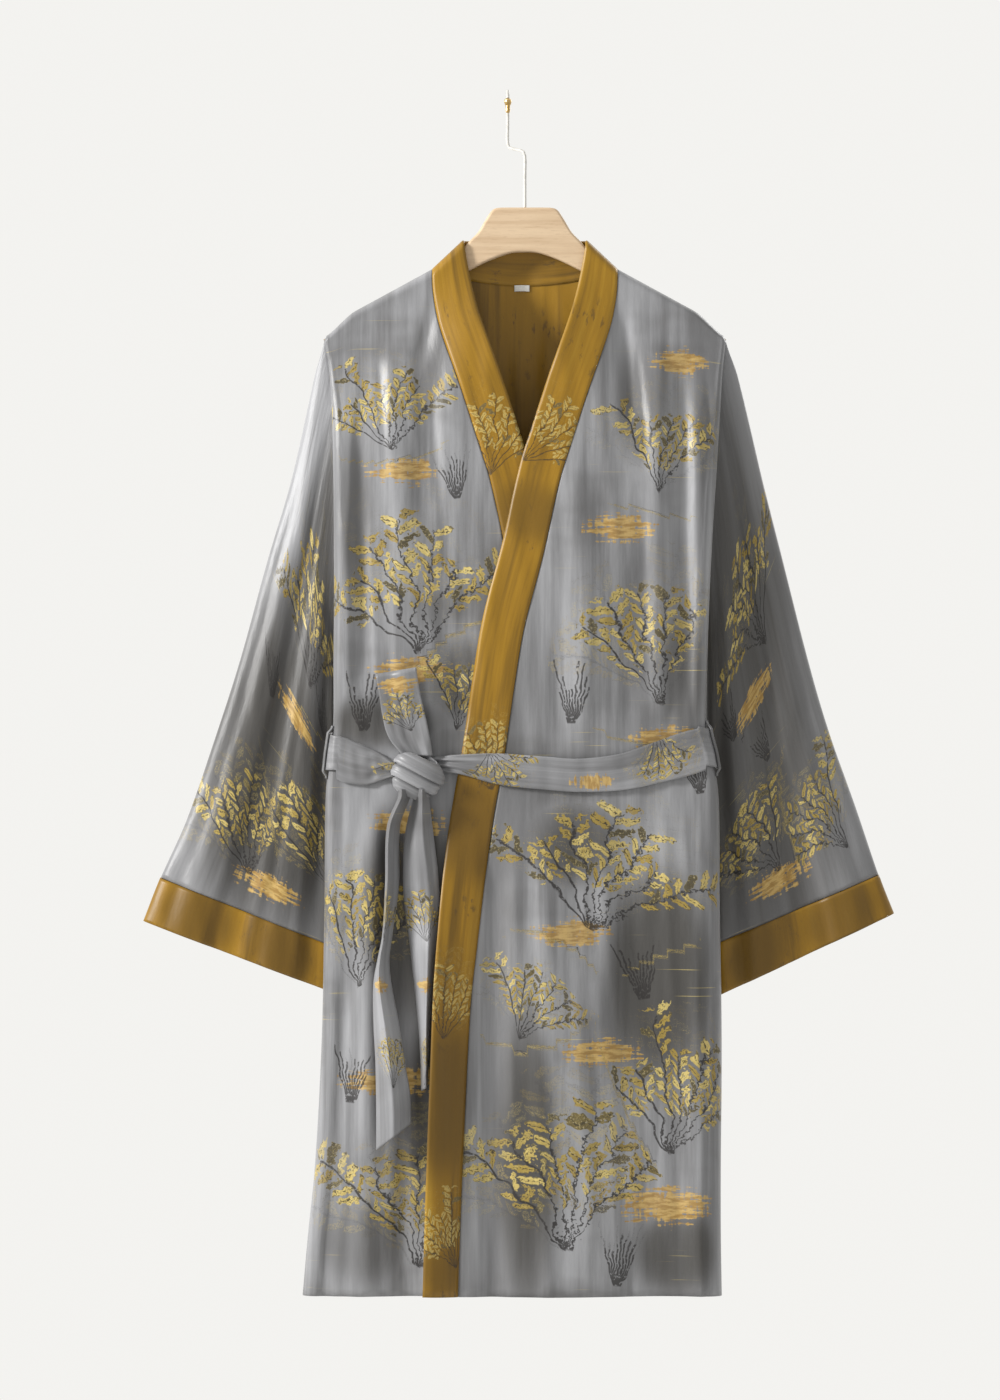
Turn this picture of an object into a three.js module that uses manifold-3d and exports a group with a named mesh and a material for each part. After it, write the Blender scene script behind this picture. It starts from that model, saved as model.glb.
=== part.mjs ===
import * as THREE from 'three';
import { mergeVertices } from 'three/addons/utils/BufferGeometryUtils.js';
import Module from 'manifold-3d';

// A wrap robe with kimono sleeves on a wooden hanger, in millimetres.
// +Z is up and -Y faces the viewer. The origin is the underside of the hook's arch.
// The robe's own middle line stands ROBE_X to the right of the hook.

const ROBE_X = 18;
const CLOTH = 1.6;
const BAND_CLOTH = 2.2;
const BELT_CLOTH = 2.0;
const SEAM = 0.3;

const HEM_Z = -1266;
const BAND_WIDTH = 45;
const CUFF_WIDTH = 50;
const NECK_X = 98;
const NECK_Z = -186;
const TIP_X = 212;
const TIP_Z = -248;
const NECK_RISE = 0.94;
const BACK_NECK_DROP = 15;
const CREST_R = 9.5;
const CREST_REACH = 160;
const UNDERARM_Z = -493;
const SIDE_TURN = 0.375;
const OVERLAP_LIFT = 5.5;
const UNDERARM_FADE = 130;
const SIDE_BLEND = 62;

const WOOD_HALF = 6;
const WOOD_BEVEL = 3;
const WOOD_TOP_Z = -121;
const WOOD_CLEAR = 4;
const WIRE_R = 1.8;
const HOOK_R = 6;

const COLOURS = {
  grey: 0x8f8f8b,
  ochre: 0x8e6420,
  label: 0xe9e6df,
  wood: 0xdcc29c,
  wire: 0xd9d8d4,
  brass: 0xc9a04a,
};

// The body's side edges at each height, as seen from the front.
const SIDES = [
  { z: -1267, left: -234, right: 207 },
  { z: -1200, left: -228, right: 206 },
  { z: -1130, left: -221, right: 206 },
  { z: -1000, left: -214, right: 207 },
  { z: -850, left: -211, right: 205 },
  { z: -745, left: -210, right: 204 },
  { z: -700, left: -206, right: 198 },
  { z: -668, left: -202, right: 191 },
  { z: -600, left: -201.5, right: 192 },
  { z: -493, left: -201, right: 196 },
  { z: -350, left: -203, right: 205 },
  { z: -285, left: -207, right: 209 },
  { z: -248, left: -212, right: 212 },
];

// The seam between a front and its band, the band's lean inward from level, in degrees, and how far
// its free edge turns toward the viewer. The over front is as given and the under front is its mirror.
const BAND = [
  { z: -1266, seam: -70, lean: 2, turn: 34 },
  { z: -1174, seam: -67, lean: 3, turn: 33 },
  { z: -1104, seam: -64, lean: 4, turn: 32 },
  { z: -963, seam: -57, lean: 6, turn: 28 },
  { z: -899, seam: -50, lean: 8, turn: 20 },
  { z: -778, seam: -35, lean: 9, turn: 0 },
  { z: -696, seam: -21, lean: 10, turn: 0 },
  { z: -626, seam: -11, lean: 13, turn: 0 },
  { z: -566, seam: -1, lean: 15, turn: 0 },
  { z: -493, seam: 18, lean: 17, turn: 0 },
  { z: -408, seam: 37, lean: 19, turn: 0 },
  { z: -373, seam: 48, lean: 20, turn: 0 },
  { z: -314, seam: 67, lean: 22, turn: 0 },
  { z: -266, seam: 84, lean: 24, turn: 0 },
  { z: -240, seam: 92, lean: 27, turn: 0 },
  { z: -210, seam: 97, lean: 34, turn: 0 },
  { z: -186, seam: 98, lean: 43, turn: 0 },
];

// How deep the front and the back stand from the hanger's middle plane at each height.
const DEPTHS = [
  { z: -1266, front: 48, back: 34 },
  { z: -1130, front: 46, back: 34 },
  { z: -1000, front: 43, back: 32 },
  { z: -850, front: 38, back: 28 },
  { z: -700, front: 31, back: 22 },
  { z: -600, front: 36, back: 27 },
  { z: -450, front: 34, back: 26 },
  { z: -300, front: 32, back: 24 },
  { z: -186, front: 30, back: 24 },
];

// The largest folds of the fronts: middle line, half width and height toward the viewer (a trough is
// below zero), between two heights where they fade out.
const FRONT_FOLDS = [
  { x: -104, dx: -6, half: 9, high: -6, top: -195, low: -300 },
  { x: -104, dx: 0, half: 15, high: -5, top: -260, low: -470 },
  { x: -133, dx: 6, half: 14, high: 4, top: -240, low: -672 },
  { x: -171, dx: 2, half: 13, high: -4.5, top: -330, low: -640 },
  { x: -187, dx: 0, half: 9, high: 4, top: -300, low: -672 },
  { x: -72, dx: 8, half: 20, high: -5, top: -520, low: -685 },
  { x: -122, dx: 2, half: 21, high: -9, top: -735, low: -1300 },
  { x: -165, dx: -8, half: 14, high: 5, top: -740, low: -1300 },
  { x: -199, dx: -14, half: 10, high: -4, top: -900, low: -1300 },
  { x: 108, dx: 6, half: 10, high: -7, top: -198, low: -372 },
  { x: 58, dx: 8, half: 18, high: 4, top: -360, low: -672 },
  { x: 112, dx: -6, half: 22, high: -5, top: -470, low: -685 },
  { x: 140, dx: 4, half: 12, high: 5, top: -230, low: -672 },
  { x: 168, dx: 4, half: 10, high: -4, top: -260, low: -660 },
  { x: 183, dx: 4, half: 9, high: 4, top: -300, low: -672 },
  { x: -32, dx: -2, half: 15, high: -7, top: -780, low: -1300 },
  { x: 24, dx: 10, half: 30, high: 7, top: -745, low: -1300 },
  { x: 122, dx: 14, half: 32, high: -8, top: -745, low: -1300 },
  { x: 182, dx: 4, half: 12, high: 5, top: -760, low: -1300 },
];

// The largest folds of the back, in the same columns, standing away from the viewer.
const BACK_FOLDS = [
  { x: -128, dx: -6, half: 20, high: 5, top: -210, low: -665 },
  { x: -72, dx: 8, half: 18, high: -4, top: -240, low: -665 },
  { x: -6, dx: 0, half: 26, high: 4, top: -280, low: -665 },
  { x: 66, dx: -6, half: 18, high: -5, top: -230, low: -665 },
  { x: 124, dx: 8, half: 19, high: 5, top: -215, low: -665 },
  { x: -146, dx: -16, half: 20, high: 7, top: -726, low: -1300 },
  { x: -88, dx: -6, half: 22, high: -7, top: -730, low: -1300 },
  { x: -22, dx: 4, half: 26, high: 7, top: -722, low: -1300 },
  { x: 44, dx: 4, half: 22, high: -7, top: -730, low: -1300 },
  { x: 104, dx: 8, half: 24, high: 7, top: -726, low: -1300 },
  { x: 158, dx: 8, half: 15, high: -5, top: -740, low: -1300 },
];

// A sleeve's outer line and its underarm line from the armhole (0) to the cuff seam (1), and the
// depth and half thickness of the hanging tube between them. The last row is the cuff's open end.
const SLEEVE_LEFT = [
  { s: 0, outX: -212, outZ: -248, inX: -194, inZ: -493, mid: 4, half: 12 },
  { s: 0.15, outX: -228, outZ: -325, inX: -196, inZ: -545, mid: 9, half: 13 },
  { s: 0.3, outX: -247, outZ: -409, inX: -197, inZ: -610, mid: 12, half: 14 },
  { s: 0.45, outX: -272, outZ: -493, inX: -198, inZ: -680, mid: 14, half: 15 },
  { s: 0.62, outX: -301, outZ: -598, inX: -197, inZ: -750, mid: 16, half: 16 },
  { s: 0.76, outX: -328, outZ: -682, inX: -195, inZ: -810, mid: 17, half: 17 },
  { s: 0.9, outX: -358, outZ: -768, inX: -194, inZ: -862, mid: 18, half: 18 },
  { s: 1, outX: -385, outZ: -828, inX: -193, inZ: -905, mid: 19, half: 18 },
  { s: 1.1, outX: -403, outZ: -874, inX: -194, inZ: -953, mid: 19, half: 19 },
];
const SLEEVE_RIGHT = [
  { s: 0, outX: 212, outZ: -248, inX: 189, inZ: -493, mid: 4, half: 12 },
  { s: 0.15, outX: 230, outZ: -315, inX: 190, inZ: -545, mid: 9, half: 13 },
  { s: 0.3, outX: 249, outZ: -399, inX: 191, inZ: -610, mid: 13, half: 14 },
  { s: 0.45, outX: 269, outZ: -478, inX: 191, inZ: -680, mid: 16, half: 15 },
  { s: 0.62, outX: 300, outZ: -600, inX: 192, inZ: -750, mid: 17, half: 16 },
  { s: 0.76, outX: 322, outZ: -675, inX: 193, inZ: -810, mid: 18, half: 17 },
  { s: 0.9, outX: 350, outZ: -754, inX: 193, inZ: -862, mid: 19, half: 18 },
  { s: 1, outX: 374, outZ: -825, inX: 193, inZ: -902, mid: 19, half: 18 },
  { s: 1.1, outX: 390, outZ: -866, inX: 194, inZ: -958, mid: 19, half: 19 },
];

// Folds that run down a sleeve: place across it from the outer line (0) to the underarm line (1).
const SLEEVE_FOLDS = [
  { at: 0.2, half: 0.1, high: 4, from: 0.1 },
  { at: 0.42, half: 0.12, high: -4, from: 0.2 },
  { at: 0.66, half: 0.11, high: 4.5, from: 0.15 },
  { at: 0.84, half: 0.08, high: -3, from: 0.3 },
];

// The belt's top and bottom edges across the front, from the left side to the knot, and from the knot
// to the right side. Behind, it runs level between the two sides.
const BELT_LEFT = [
  { x: -208, top: -679, low: -714 },
  { x: -194, top: -680, low: -725 },
  { x: -178, top: -686, low: -729 },
  { x: -157, top: -694, low: -728 },
  { x: -134, top: -706, low: -718 },
];
const BELT_RIGHT = [
  { x: -96, top: -700, low: -713 },
  { x: -68, top: -699, low: -717 },
  { x: -27, top: -697, low: -729 },
  { x: 25, top: -700, low: -735 },
  { x: 56, top: -702, low: -737 },
  { x: 101, top: -697, low: -735 },
  { x: 137, top: -686, low: -728 },
  { x: 175, top: -674, low: -719 },
  { x: 204, top: -668, low: -709 },
];
const BELT_BACK = { top: -674, low: -714 };
const BELT_WIDTH = 42;

// The knot's wraps: middle, half length along and across its slope, and how far it stands out.
const KNOT = { x: -114, z: -720, along: 29, across: 22, deep: 13, slope: -38, wraps: 3 };

// The belt's two hanging ends: edges at each height, the lengthwise crease across the strip (0 is the
// left edge), and how far the crease stands in front of the robe.
const END_A = [
  { z: -742, left: -133, right: -120, crease: 0.3, clear: 9 },
  { z: -773, left: -145, right: -131, crease: 0.25, clear: 6 },
  { z: -833, left: -147, right: -132, crease: 0.2, clear: 5 },
  { z: -887, left: -150, right: -139, crease: 0.2, clear: 5 },
  { z: -913, left: -155, right: -142, crease: 0.25, clear: 5 },
  { z: -937, left: -159, right: -140, crease: 0.35, clear: 5 },
  { z: -979, left: -159, right: -132, crease: 0.45, clear: 5 },
  { z: -1019, left: -157, right: -126, crease: 0.5, clear: 5 },
  { z: -1055, left: -156, right: -120, crease: 0.5, clear: 5 },
  { z: -1084, left: -156, right: -119, crease: 0.5, clear: 5 },
];
const END_B = [
  { z: -742, left: -117, right: -101, crease: 0.6, clear: 9 },
  { z: -781, left: -126, right: -96, crease: 0.65, clear: 5 },
  { z: -823, left: -128, right: -91, crease: 0.7, clear: 5 },
  { z: -851, left: -127, right: -89, crease: 0.7, clear: 5 },
  { z: -881, left: -123, right: -90, crease: 0.7, clear: 5 },
  { z: -905, left: -120, right: -93, crease: 0.7, clear: 5 },
  { z: -972, left: -113, right: -99, crease: 0.7, clear: 5 },
  { z: -1013, left: -110, right: -101, crease: 0.7, clear: 5 },
  { z: -1044, left: -109, right: -102, crease: 0.7, clear: 5 },
];
const END_A_SLANT = 28;
const END_B_SLANT = 6;

// The loop of belt that stands up out of the knot, folded over at its top.
const BOW_LOOP = [
  { z: -699, left: -127, right: -97 },
  { z: -680, left: -143, right: -100 },
  { z: -655, left: -150, right: -106 },
  { z: -635, left: -153, right: -111 },
  { z: -618, left: -156, right: -114 },
];
const BOW_LOOP_TILT = 7;
const BOW_LOOP_GAP = 5;
const BOW_LOOP_OFF = 3;

const lerp = (a, b, t) => a + (b - a) * t;
const clamp01 = (t) => Math.min(1, Math.max(0, t));
const smooth = (t) => clamp01(t) ** 2 * (3 - 2 * clamp01(t));
const degrees = (a) => (a * Math.PI) / 180;

// A column of a table at a value of its key column, by a smooth cubic through the rows.
function column(rows, key, value, name) {
  const up = rows[rows.length - 1][key] > rows[0][key];
  const list = up ? rows : [...rows].reverse();
  const v = Math.min(list[list.length - 1][key], Math.max(list[0][key], value));
  let i = 0;
  while (i < list.length - 2 && v > list[i + 1][key]) i += 1;
  const gap = list[i + 1][key] - list[i][key];
  const t = (v - list[i][key]) / gap;
  const slope = (k) => {
    const a = list[Math.max(k - 1, 0)];
    const b = list[Math.min(k + 1, list.length - 1)];
    return ((b[name] - a[name]) / (b[key] - a[key])) * gap;
  };
  const p = list[i][name];
  const q = list[i + 1][name];
  const m = slope(i);
  const n = slope(i + 1);
  return p + t * m + t * t * (3 * q - 3 * p - 2 * m - n) + t * t * t * (2 * p - 2 * q + m + n);
}

// The line where the robe hangs over the hanger: shoulders outside the neck, band inside it.
function crestZ(x) {
  const a = Math.abs(x);
  const fall = (NECK_Z - TIP_Z) / (TIP_X - NECK_X);
  return a > NECK_X ? NECK_Z - fall * (a - NECK_X) : NECK_Z + NECK_RISE * (NECK_X - a);
}

function foldHeight(folds, x, z) {
  let sum = 0;
  for (const f of folds) {
    const t = clamp01((f.top - z) / (f.top - f.low));
    const fade = smooth((f.top - z) / 60) * smooth((z - f.low) / 40);
    const q = (x - f.x - f.dx * (2 * t - 1)) / f.half;
    sum += f.high * fade * Math.exp(-q * q);
  }
  return sum;
}

// How far a layer stands from the middle plane: round over the crest, then filling out below it.
function depthAt(x, z, side, folds) {
  const d = Math.max(crestZ(x) - z, 0);
  const over = CREST_R * Math.sqrt(1 - (1 - clamp01(d / CREST_R)) ** 2);
  const full = column(DEPTHS, 'z', z, side);
  const crown = 1 - 0.1 * (x / TIP_X) ** 2;
  const loose = smooth((d - CREST_R) / CREST_REACH);
  return over + (full * crown - CREST_R) * loose + foldHeight(folds, x, z) * smooth(d / 90);
}

function lift(x, z) {
  return OVERLAP_LIFT * smooth((-290 - z) / 70) * (1 - smooth((x - 70) / 110));
}

const frontDepth = (x, z, over) => depthAt(x, z, 'front', FRONT_FOLDS) + (over ? lift(x, z) : 0);
const backDepth = (x, z) => depthAt(x, z, 'back', BACK_FOLDS);
const sideX = (z, name) => column(SIDES, 'z', z, name);

// A closed body from triangles of a point list, with shared points merged.
function solid(points, triangles) {
  const geometry = new THREE.BufferGeometry();
  const flat = new Float32Array(points.length * 3);
  points.forEach((p, i) => p.toArray(flat, i * 3));
  geometry.setAttribute('position', new THREE.BufferAttribute(flat, 3));
  geometry.setIndex(triangles.flat());
  return mergeVertices(geometry, 1e-4);
}

// A cloth wall from its outer face, a grid of points in rows. The face looks along
// (next row) x (next column), and the inner face lies one thickness behind it.
// A ring grid closes each row on itself. keep() may hold an inner point back from a neighbour.
function wall(rows, thick, { ring = false, keep = (p) => p } = {}) {
  const count = rows.length;
  const wide = rows[0].length;
  const at = (i, j) => rows[i][ring ? (j + wide) % wide : Math.min(Math.max(j, 0), wide - 1)];
  const points = rows.flat().map((p) => p.clone());
  for (let i = 0; i < count; i += 1) {
    for (let j = 0; j < wide; j += 1) {
      const along = at(Math.min(i + 1, count - 1), j).clone().sub(at(Math.max(i - 1, 0), j));
      const across = at(i, j + 1).clone().sub(at(i, j - 1));
      const normal = along.cross(across).normalize();
      points.push(keep(at(i, j).clone().addScaledVector(normal, -thick), i, j));
    }
  }
  const inner = count * wide;
  const outerAt = (i, j) => i * wide + (j % wide);
  const innerAt = (i, j) => inner + outerAt(i, j);
  const triangles = [];
  const quad = (a, b, c, d) => triangles.push([a, b, c], [a, c, d]);
  const steps = ring ? wide : wide - 1;
  for (let i = 0; i < count - 1; i += 1) {
    for (let j = 0; j < steps; j += 1) {
      quad(outerAt(i, j), outerAt(i + 1, j), outerAt(i + 1, j + 1), outerAt(i, j + 1));
      quad(innerAt(i, j), innerAt(i, j + 1), innerAt(i + 1, j + 1), innerAt(i + 1, j));
    }
  }
  for (let j = 0; j < steps; j += 1) {
    quad(outerAt(0, j), outerAt(0, j + 1), innerAt(0, j + 1), innerAt(0, j));
    quad(outerAt(count - 1, j + 1), outerAt(count - 1, j), innerAt(count - 1, j), innerAt(count - 1, j + 1));
  }
  for (let i = 0; i < count - 1 && !ring; i += 1) {
    quad(outerAt(i + 1, 0), outerAt(i, 0), innerAt(i, 0), innerAt(i + 1, 0));
    quad(outerAt(i, wide - 1), outerAt(i + 1, wide - 1), innerAt(i + 1, wide - 1), innerAt(i, wide - 1));
  }
  return solid(points, triangles);
}

const steps = (count, map) => Array.from({ length: count + 1 }, (_, i) => map(i / count));
const V = (x, y, z) => new THREE.Vector3(x, y, z);

const EDGE_LOOK_IN = 12;
const EDGE_MIN_R = 4;
const EDGE_TURN = 0.5;
const EDGE_MORE_TURN = 0.333;

// Where a front ends at the side, after it has turned round the edge, at each height.
function frontEdge(z, name, over) {
  const sign = name === 'left' ? -1 : 1;
  const x = sideX(z, name);
  const deep = Math.max(frontDepth(x - sign * EDGE_LOOK_IN, z, over), SEAM / 2);
  const r = Math.max(SIDE_TURN * deep, EDGE_MIN_R);
  const turn = Math.PI * (EDGE_TURN + EDGE_MORE_TURN * clamp01((deep - SEAM) / CREST_R));
  const rise = SIDE_TURN * deep;
  const point = (a) => V(x - sign * (r - r * Math.sin(a)), -deep + rise * (1 - Math.cos(a)), z);
  return { flatX: x - sign * r, turn, point, end: point(turn) };
}

// How far each row of a panel lies below the crest, at the side: close at the crest and at the belt.
const DROPS = [
  1018, 970, 900, 825, 750, 680, 615, 560, 518, 492, 470, 450, 430, 408, 380, 340, 295, 250, 205, 165, 128,
  96, 68, 45, 28, 16, 9.5, 5, 2, 0,
];
const FULL_DROP = DROPS[0];
const rowHeight = (drop, topZ) => topZ - (drop * (topZ - HEM_Z)) / FULL_DROP;
const FRONT_COLUMNS = 13;
const TURN_STEPS = 3;
const SIDE_EASE_START = 0.85;

// One front, ruled from its band seam to its side, and turned round the side edge.
function frontPanel(name, over) {
  const sign = name === 'left' ? -1 : 1;
  const rows = DROPS.map((drop) => {
    const seamZ = rowHeight(drop, NECK_Z);
    const sideZ = rowHeight(drop, TIP_Z);
    const seamX = sign * column(BAND, 'z', seamZ, 'seam');
    const edge = frontEdge(sideZ, name, over);
    const flat = steps(FRONT_COLUMNS, (u) => {
      const x = lerp(seamX, edge.flatX, u);
      const z = lerp(seamZ, sideZ, u);
      const bend = smooth((u - SIDE_EASE_START) / (1 - SIDE_EASE_START));
      const level = lerp(frontDepth(x, z, over), frontDepth(x, sideZ, over), bend);
      return V(x, -Math.max(level, SEAM / 2), z);
    });
    flat.pop();
    const round = steps(TURN_STEPS, (u) => edge.point(edge.turn * u));
    return [...flat, ...round];
  });
  const keep = (p, i) => (i === 0 ? p.setY(Math.min(p.y, -SEAM / 2)) : p);
  const facing = sign > 0 ? rows : rows.map((row) => row.reverse());
  return wall(facing.reverse(), CLOTH, { keep });
}

const armholeOpen = (z) => smooth((z - UNDERARM_Z) / UNDERARM_FADE);

// Where the back meets a front at the side. Above the underarm it stands back from the front, which
// leaves the armhole open for the sleeve.
function backEdge(z, name) {
  const sign = name === 'left' ? -1 : 1;
  const end = frontEdge(z, name, name === 'right').end;
  const x = end.x - sign * 2 * SEAM;
  const level = lerp(end.y + SEAM, backDepth(x, z), armholeOpen(z));
  return V(x, Math.max(level, end.y + SEAM), z);
}

const BACK_HALF = [30, 58, 80, 91, NECK_X, 108, 130, 154, 176, 194, 205, TIP_X];
const BACK_PLACES = [...[...BACK_HALF].reverse().map((x) => -x), 0, ...BACK_HALF];

function backTopZ(x) {
  const a = Math.abs(x) / NECK_X;
  return a > 1 ? crestZ(x) : NECK_Z - BACK_NECK_DROP * (1 - a * a);
}

function backY(x, z, from, to) {
  const near = Math.min(x - from.x, to.x - x);
  const t = clamp01(near / SIDE_BLEND);
  const edge = x - from.x < to.x - x ? from.y : to.y;
  const filled = Math.max(1.5 * t - 0.5 * t ** 3, armholeOpen(z));
  return lerp(edge, backDepth(x, z), filled);
}

// The back, from side to side, in columns that are close together at the neck's ends and the sides.
function backPanel() {
  const rows = DROPS.map((drop) => BACK_PLACES.map((topX) => {
    const u = 0.5 + topX / (2 * TIP_X);
    const z = rowHeight(drop, backTopZ(topX));
    const from = backEdge(Math.min(z, TIP_Z), 'left');
    const to = backEdge(Math.min(z, TIP_Z), 'right');
    const x = lerp(from.x, to.x, u);
    return V(x, drop === 0 ? Math.max(backY(x, z, from, to), SEAM / 2) : backY(x, z, from, to), z);
  }));
  const keep = (p, i) => (i === DROPS.length - 1 ? p.setY(Math.max(p.y, SEAM / 2)) : p);
  return wall(rows, CLOTH, { keep });
}

const SLEEVE_RINGS = 18;
const SLEEVE_HALF_STEPS = 10;
const CUFF_RINGS = 2;
const CUFF_END = 1.1;
const CUFF_PROUD = 0.5;
const ROUND_POWER = 3;
const ARMHOLE_TOP = 3;
const ARMHOLE_OPEN = 7;
const FOLD_GROW = 0.25;
const SLEEVE_HANG = 0.28;

// The armhole's edge at a fraction of its height, in front or behind.
function armhole(name, u, behind) {
  const sign = name === 'left' ? -1 : 1;
  const z = lerp(TIP_Z - ARMHOLE_TOP, UNDERARM_Z, u);
  const front = frontEdge(z, name, name === 'right').end;
  const round = (1 - Math.abs(2 * u - 1) ** (2 * ROUND_POWER)) ** (1 / ROUND_POWER);
  const y = front.y + 4 * SEAM;
  if (!behind) return V(front.x + sign * 3 * SEAM, y, z);
  const back = backEdge(z, name);
  return V(back.x + sign * 6 * SEAM, Math.max(back.y, y + ARMHOLE_OPEN * round), z);
}

// A point of a sleeve or cuff: s runs down it, u across it, in front or behind.
function sleevePoint(table, name, s, u, behind, proud) {
  const sign = name === 'left' ? -1 : 1;
  const get = (key) => column(table, 's', s, key);
  const round = (1 - Math.abs(2 * u - 1) ** ROUND_POWER) ** (1 / ROUND_POWER);
  let fold = 0;
  for (const f of SLEEVE_FOLDS) {
    const q = (u - f.at) / f.half;
    fold += f.high * smooth((s - f.from) / FOLD_GROW) * Math.exp(-q * q);
  }
  const half = get('half') * round + fold * round + proud;
  const x = lerp(get('outX') + sign * proud, get('inX') - sign * proud, u);
  const y = get('mid') + (behind ? half : -half);
  const hang = V(x, y, lerp(get('outZ'), get('inZ'), u));
  const seam = armhole(name, u, behind);
  return seam.lerp(hang, smooth(s / SLEEVE_HANG));
}

function sleeveRing(table, name, s, proud = 0) {
  const across = (k) => 0.5 - 0.5 * Math.cos((Math.PI * k) / SLEEVE_HALF_STEPS);
  const front = [];
  const behind = [];
  for (let k = 0; k < SLEEVE_HALF_STEPS; k += 1) {
    front.push(sleevePoint(table, name, s, across(k), false, proud));
    behind.push(sleevePoint(table, name, s, across(SLEEVE_HALF_STEPS - k), true, proud));
  }
  const ring = [...front, ...behind];
  return name === 'left' ? ring.reverse() : ring;
}

const sleeve = (table, name) => wall(
  steps(SLEEVE_RINGS, (v) => sleeveRing(table, name, v)),
  CLOTH,
  { ring: true },
);

const CUFF_START = 1 + ((CUFF_END - 1) * SEAM) / CUFF_WIDTH;

const cuff = (table, name) => wall(
  steps(CUFF_RINGS, (v) => sleeveRing(table, name, lerp(CUFF_START, CUFF_END, v), CUFF_PROUD)),
  BAND_CLOTH,
  { ring: true },
);

const BAND_COLUMNS = 3;
const BAND_PROUD = 0.6;

// A point of a front band: w runs from its seam (0) to its free edge (the band's width).
function bandPoint(sign, z, w, over) {
  const lean = degrees(column(BAND, 'z', z, 'lean'));
  const turn = over ? degrees(column(BAND, 'z', z, 'turn')) : 0;
  const flat = w * Math.cos(turn);
  const x = sign * (column(BAND, 'z', z, 'seam') - flat * Math.cos(lean));
  const up = z + flat * Math.sin(lean);
  const y = -frontDepth(x, up, over) - BAND_PROUD - w * Math.sin(turn);
  return V(x, z === NECK_Z ? -SEAM / 2 : y, up);
}

function frontBand(sign, over) {
  const rows = DROPS.map((drop) => {
    const z = rowHeight(drop, NECK_Z);
    const row = steps(BAND_COLUMNS, (u) => bandPoint(sign, z, lerp(BAND_WIDTH, SEAM, u), over));
    return sign > 0 ? row : row.reverse();
  });
  const keep = (p, i) => (i === 0 ? p.setY(Math.min(p.y, -SEAM / 2)) : p);
  return wall(rows.reverse(), BAND_CLOTH, { keep });
}

const NECK_COLUMNS = 18;
const NECK_FREE_X = 66;
const NECK_FREE_Z = -156;
const NECK_END_CLEAR = 2.4;

// The band behind the neck, from crest to crest.
function neckBand() {
  const rows = steps(BAND_COLUMNS, (k) => steps(NECK_COLUMNS, (v) => {
    const t = Math.sin((Math.PI * (2 * v - 1)) / 2);
    const w = lerp((SEAM + NECK_END_CLEAR * t ** 8) / BAND_WIDTH, 1, k);
    const seamX = NECK_X * t;
    const x = lerp(seamX, NECK_FREE_X * t, w);
    const z = lerp(backTopZ(seamX), NECK_FREE_Z, w);
    const end = v === 0 || v === 1;
    return V(x, end ? SEAM / 2 : backDepth(x, z) + BAND_PROUD, z + SEAM);
  }));
  const keep = (p, i, j) => (j === 0 || j === NECK_COLUMNS ? p.setY(Math.max(p.y, SEAM / 2)) : p);
  return wall(rows, BAND_CLOTH, { keep });
}

const BELT_CLEAR = 1.1;
const LAP_X = -96;
const LAP_WIDE = 22;

// A point on the robe's outer face in a level section: q is 0 to 1 across the front from the knot's
// right to the right side, 1 to 2 round that side, 2 to 3 across the back, 3 to 4 round the left side
// and 4 to 5 to the knot's left.
function sectionPoint(q, z) {
  const part = Math.min(Math.floor(q), 4);
  const t = q - part;
  const right = frontEdge(z, 'right', true);
  const left = frontEdge(z, 'left', false);
  const front = (x) => {
    const over = smooth((x - LAP_X) / LAP_WIDE);
    const low = frontDepth(x, z, false);
    return V(x, -lerp(low, frontDepth(x, z, true) + BAND_PROUD, over), z);
  };
  if (part === 0) return front(lerp(BELT_RIGHT[0].x, right.flatX, t));
  if (part === 1) return right.point(right.turn * t);
  if (part === 3) return left.point(left.turn * (1 - t));
  if (part === 4) return front(lerp(left.flatX, BELT_LEFT[BELT_LEFT.length - 1].x, t));
  const from = backEdge(z, 'left');
  const to = backEdge(z, 'right');
  const x = lerp(to.x, from.x, t);
  return V(x, backY(x, z, from, to), z);
}

function beltHeights(q, x) {
  if (q <= 1) return [column(BELT_RIGHT, 'x', x, 'low'), column(BELT_RIGHT, 'x', x, 'top')];
  if (q >= 4) return [column(BELT_LEFT, 'x', x, 'low'), column(BELT_LEFT, 'x', x, 'top')];
  const last = BELT_RIGHT[BELT_RIGHT.length - 1];
  const first = BELT_LEFT[0];
  if (q < 2) return [lerp(last.low, BELT_BACK.low, q - 1), lerp(last.top, BELT_BACK.top, q - 1)];
  if (q > 3) return [lerp(BELT_BACK.low, first.low, q - 3), lerp(BELT_BACK.top, first.top, q - 3)];
  return [BELT_BACK.low, BELT_BACK.top];
}

function beltPoint(q, w, out) {
  const x = sectionPoint(q, BELT_BACK.low).x;
  const [low, top] = beltHeights(q, x);
  const z = lerp(low, top, w);
  const here = sectionPoint(q, z);
  const a = sectionPoint(Math.max(q - 0.02, 0), z);
  const b = sectionPoint(Math.min(q + 0.02, 5), z);
  const normal = V(b.y - a.y, a.x - b.x, 0).normalize();
  return here.addScaledVector(normal, out);
}

const BELT_STEPS = [20, 5, 22, 5, 6];

function beltRound() {
  const places = BELT_STEPS.flatMap((count, part) => steps(count, (t) => part + t).slice(0, -1));
  places.push(5);
  const rows = steps(2, (w) => places.map((q) => beltPoint(q, w, BELT_CLEAR + BELT_CLOTH)));
  return wall(rows.reverse(), BELT_CLOTH);
}

const LOOP = { cloth: 1.4, turn: 1.5, rise: 9, off: 0.7, half: 0.08, edge: 0.02, ramp: 0.13 };

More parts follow.
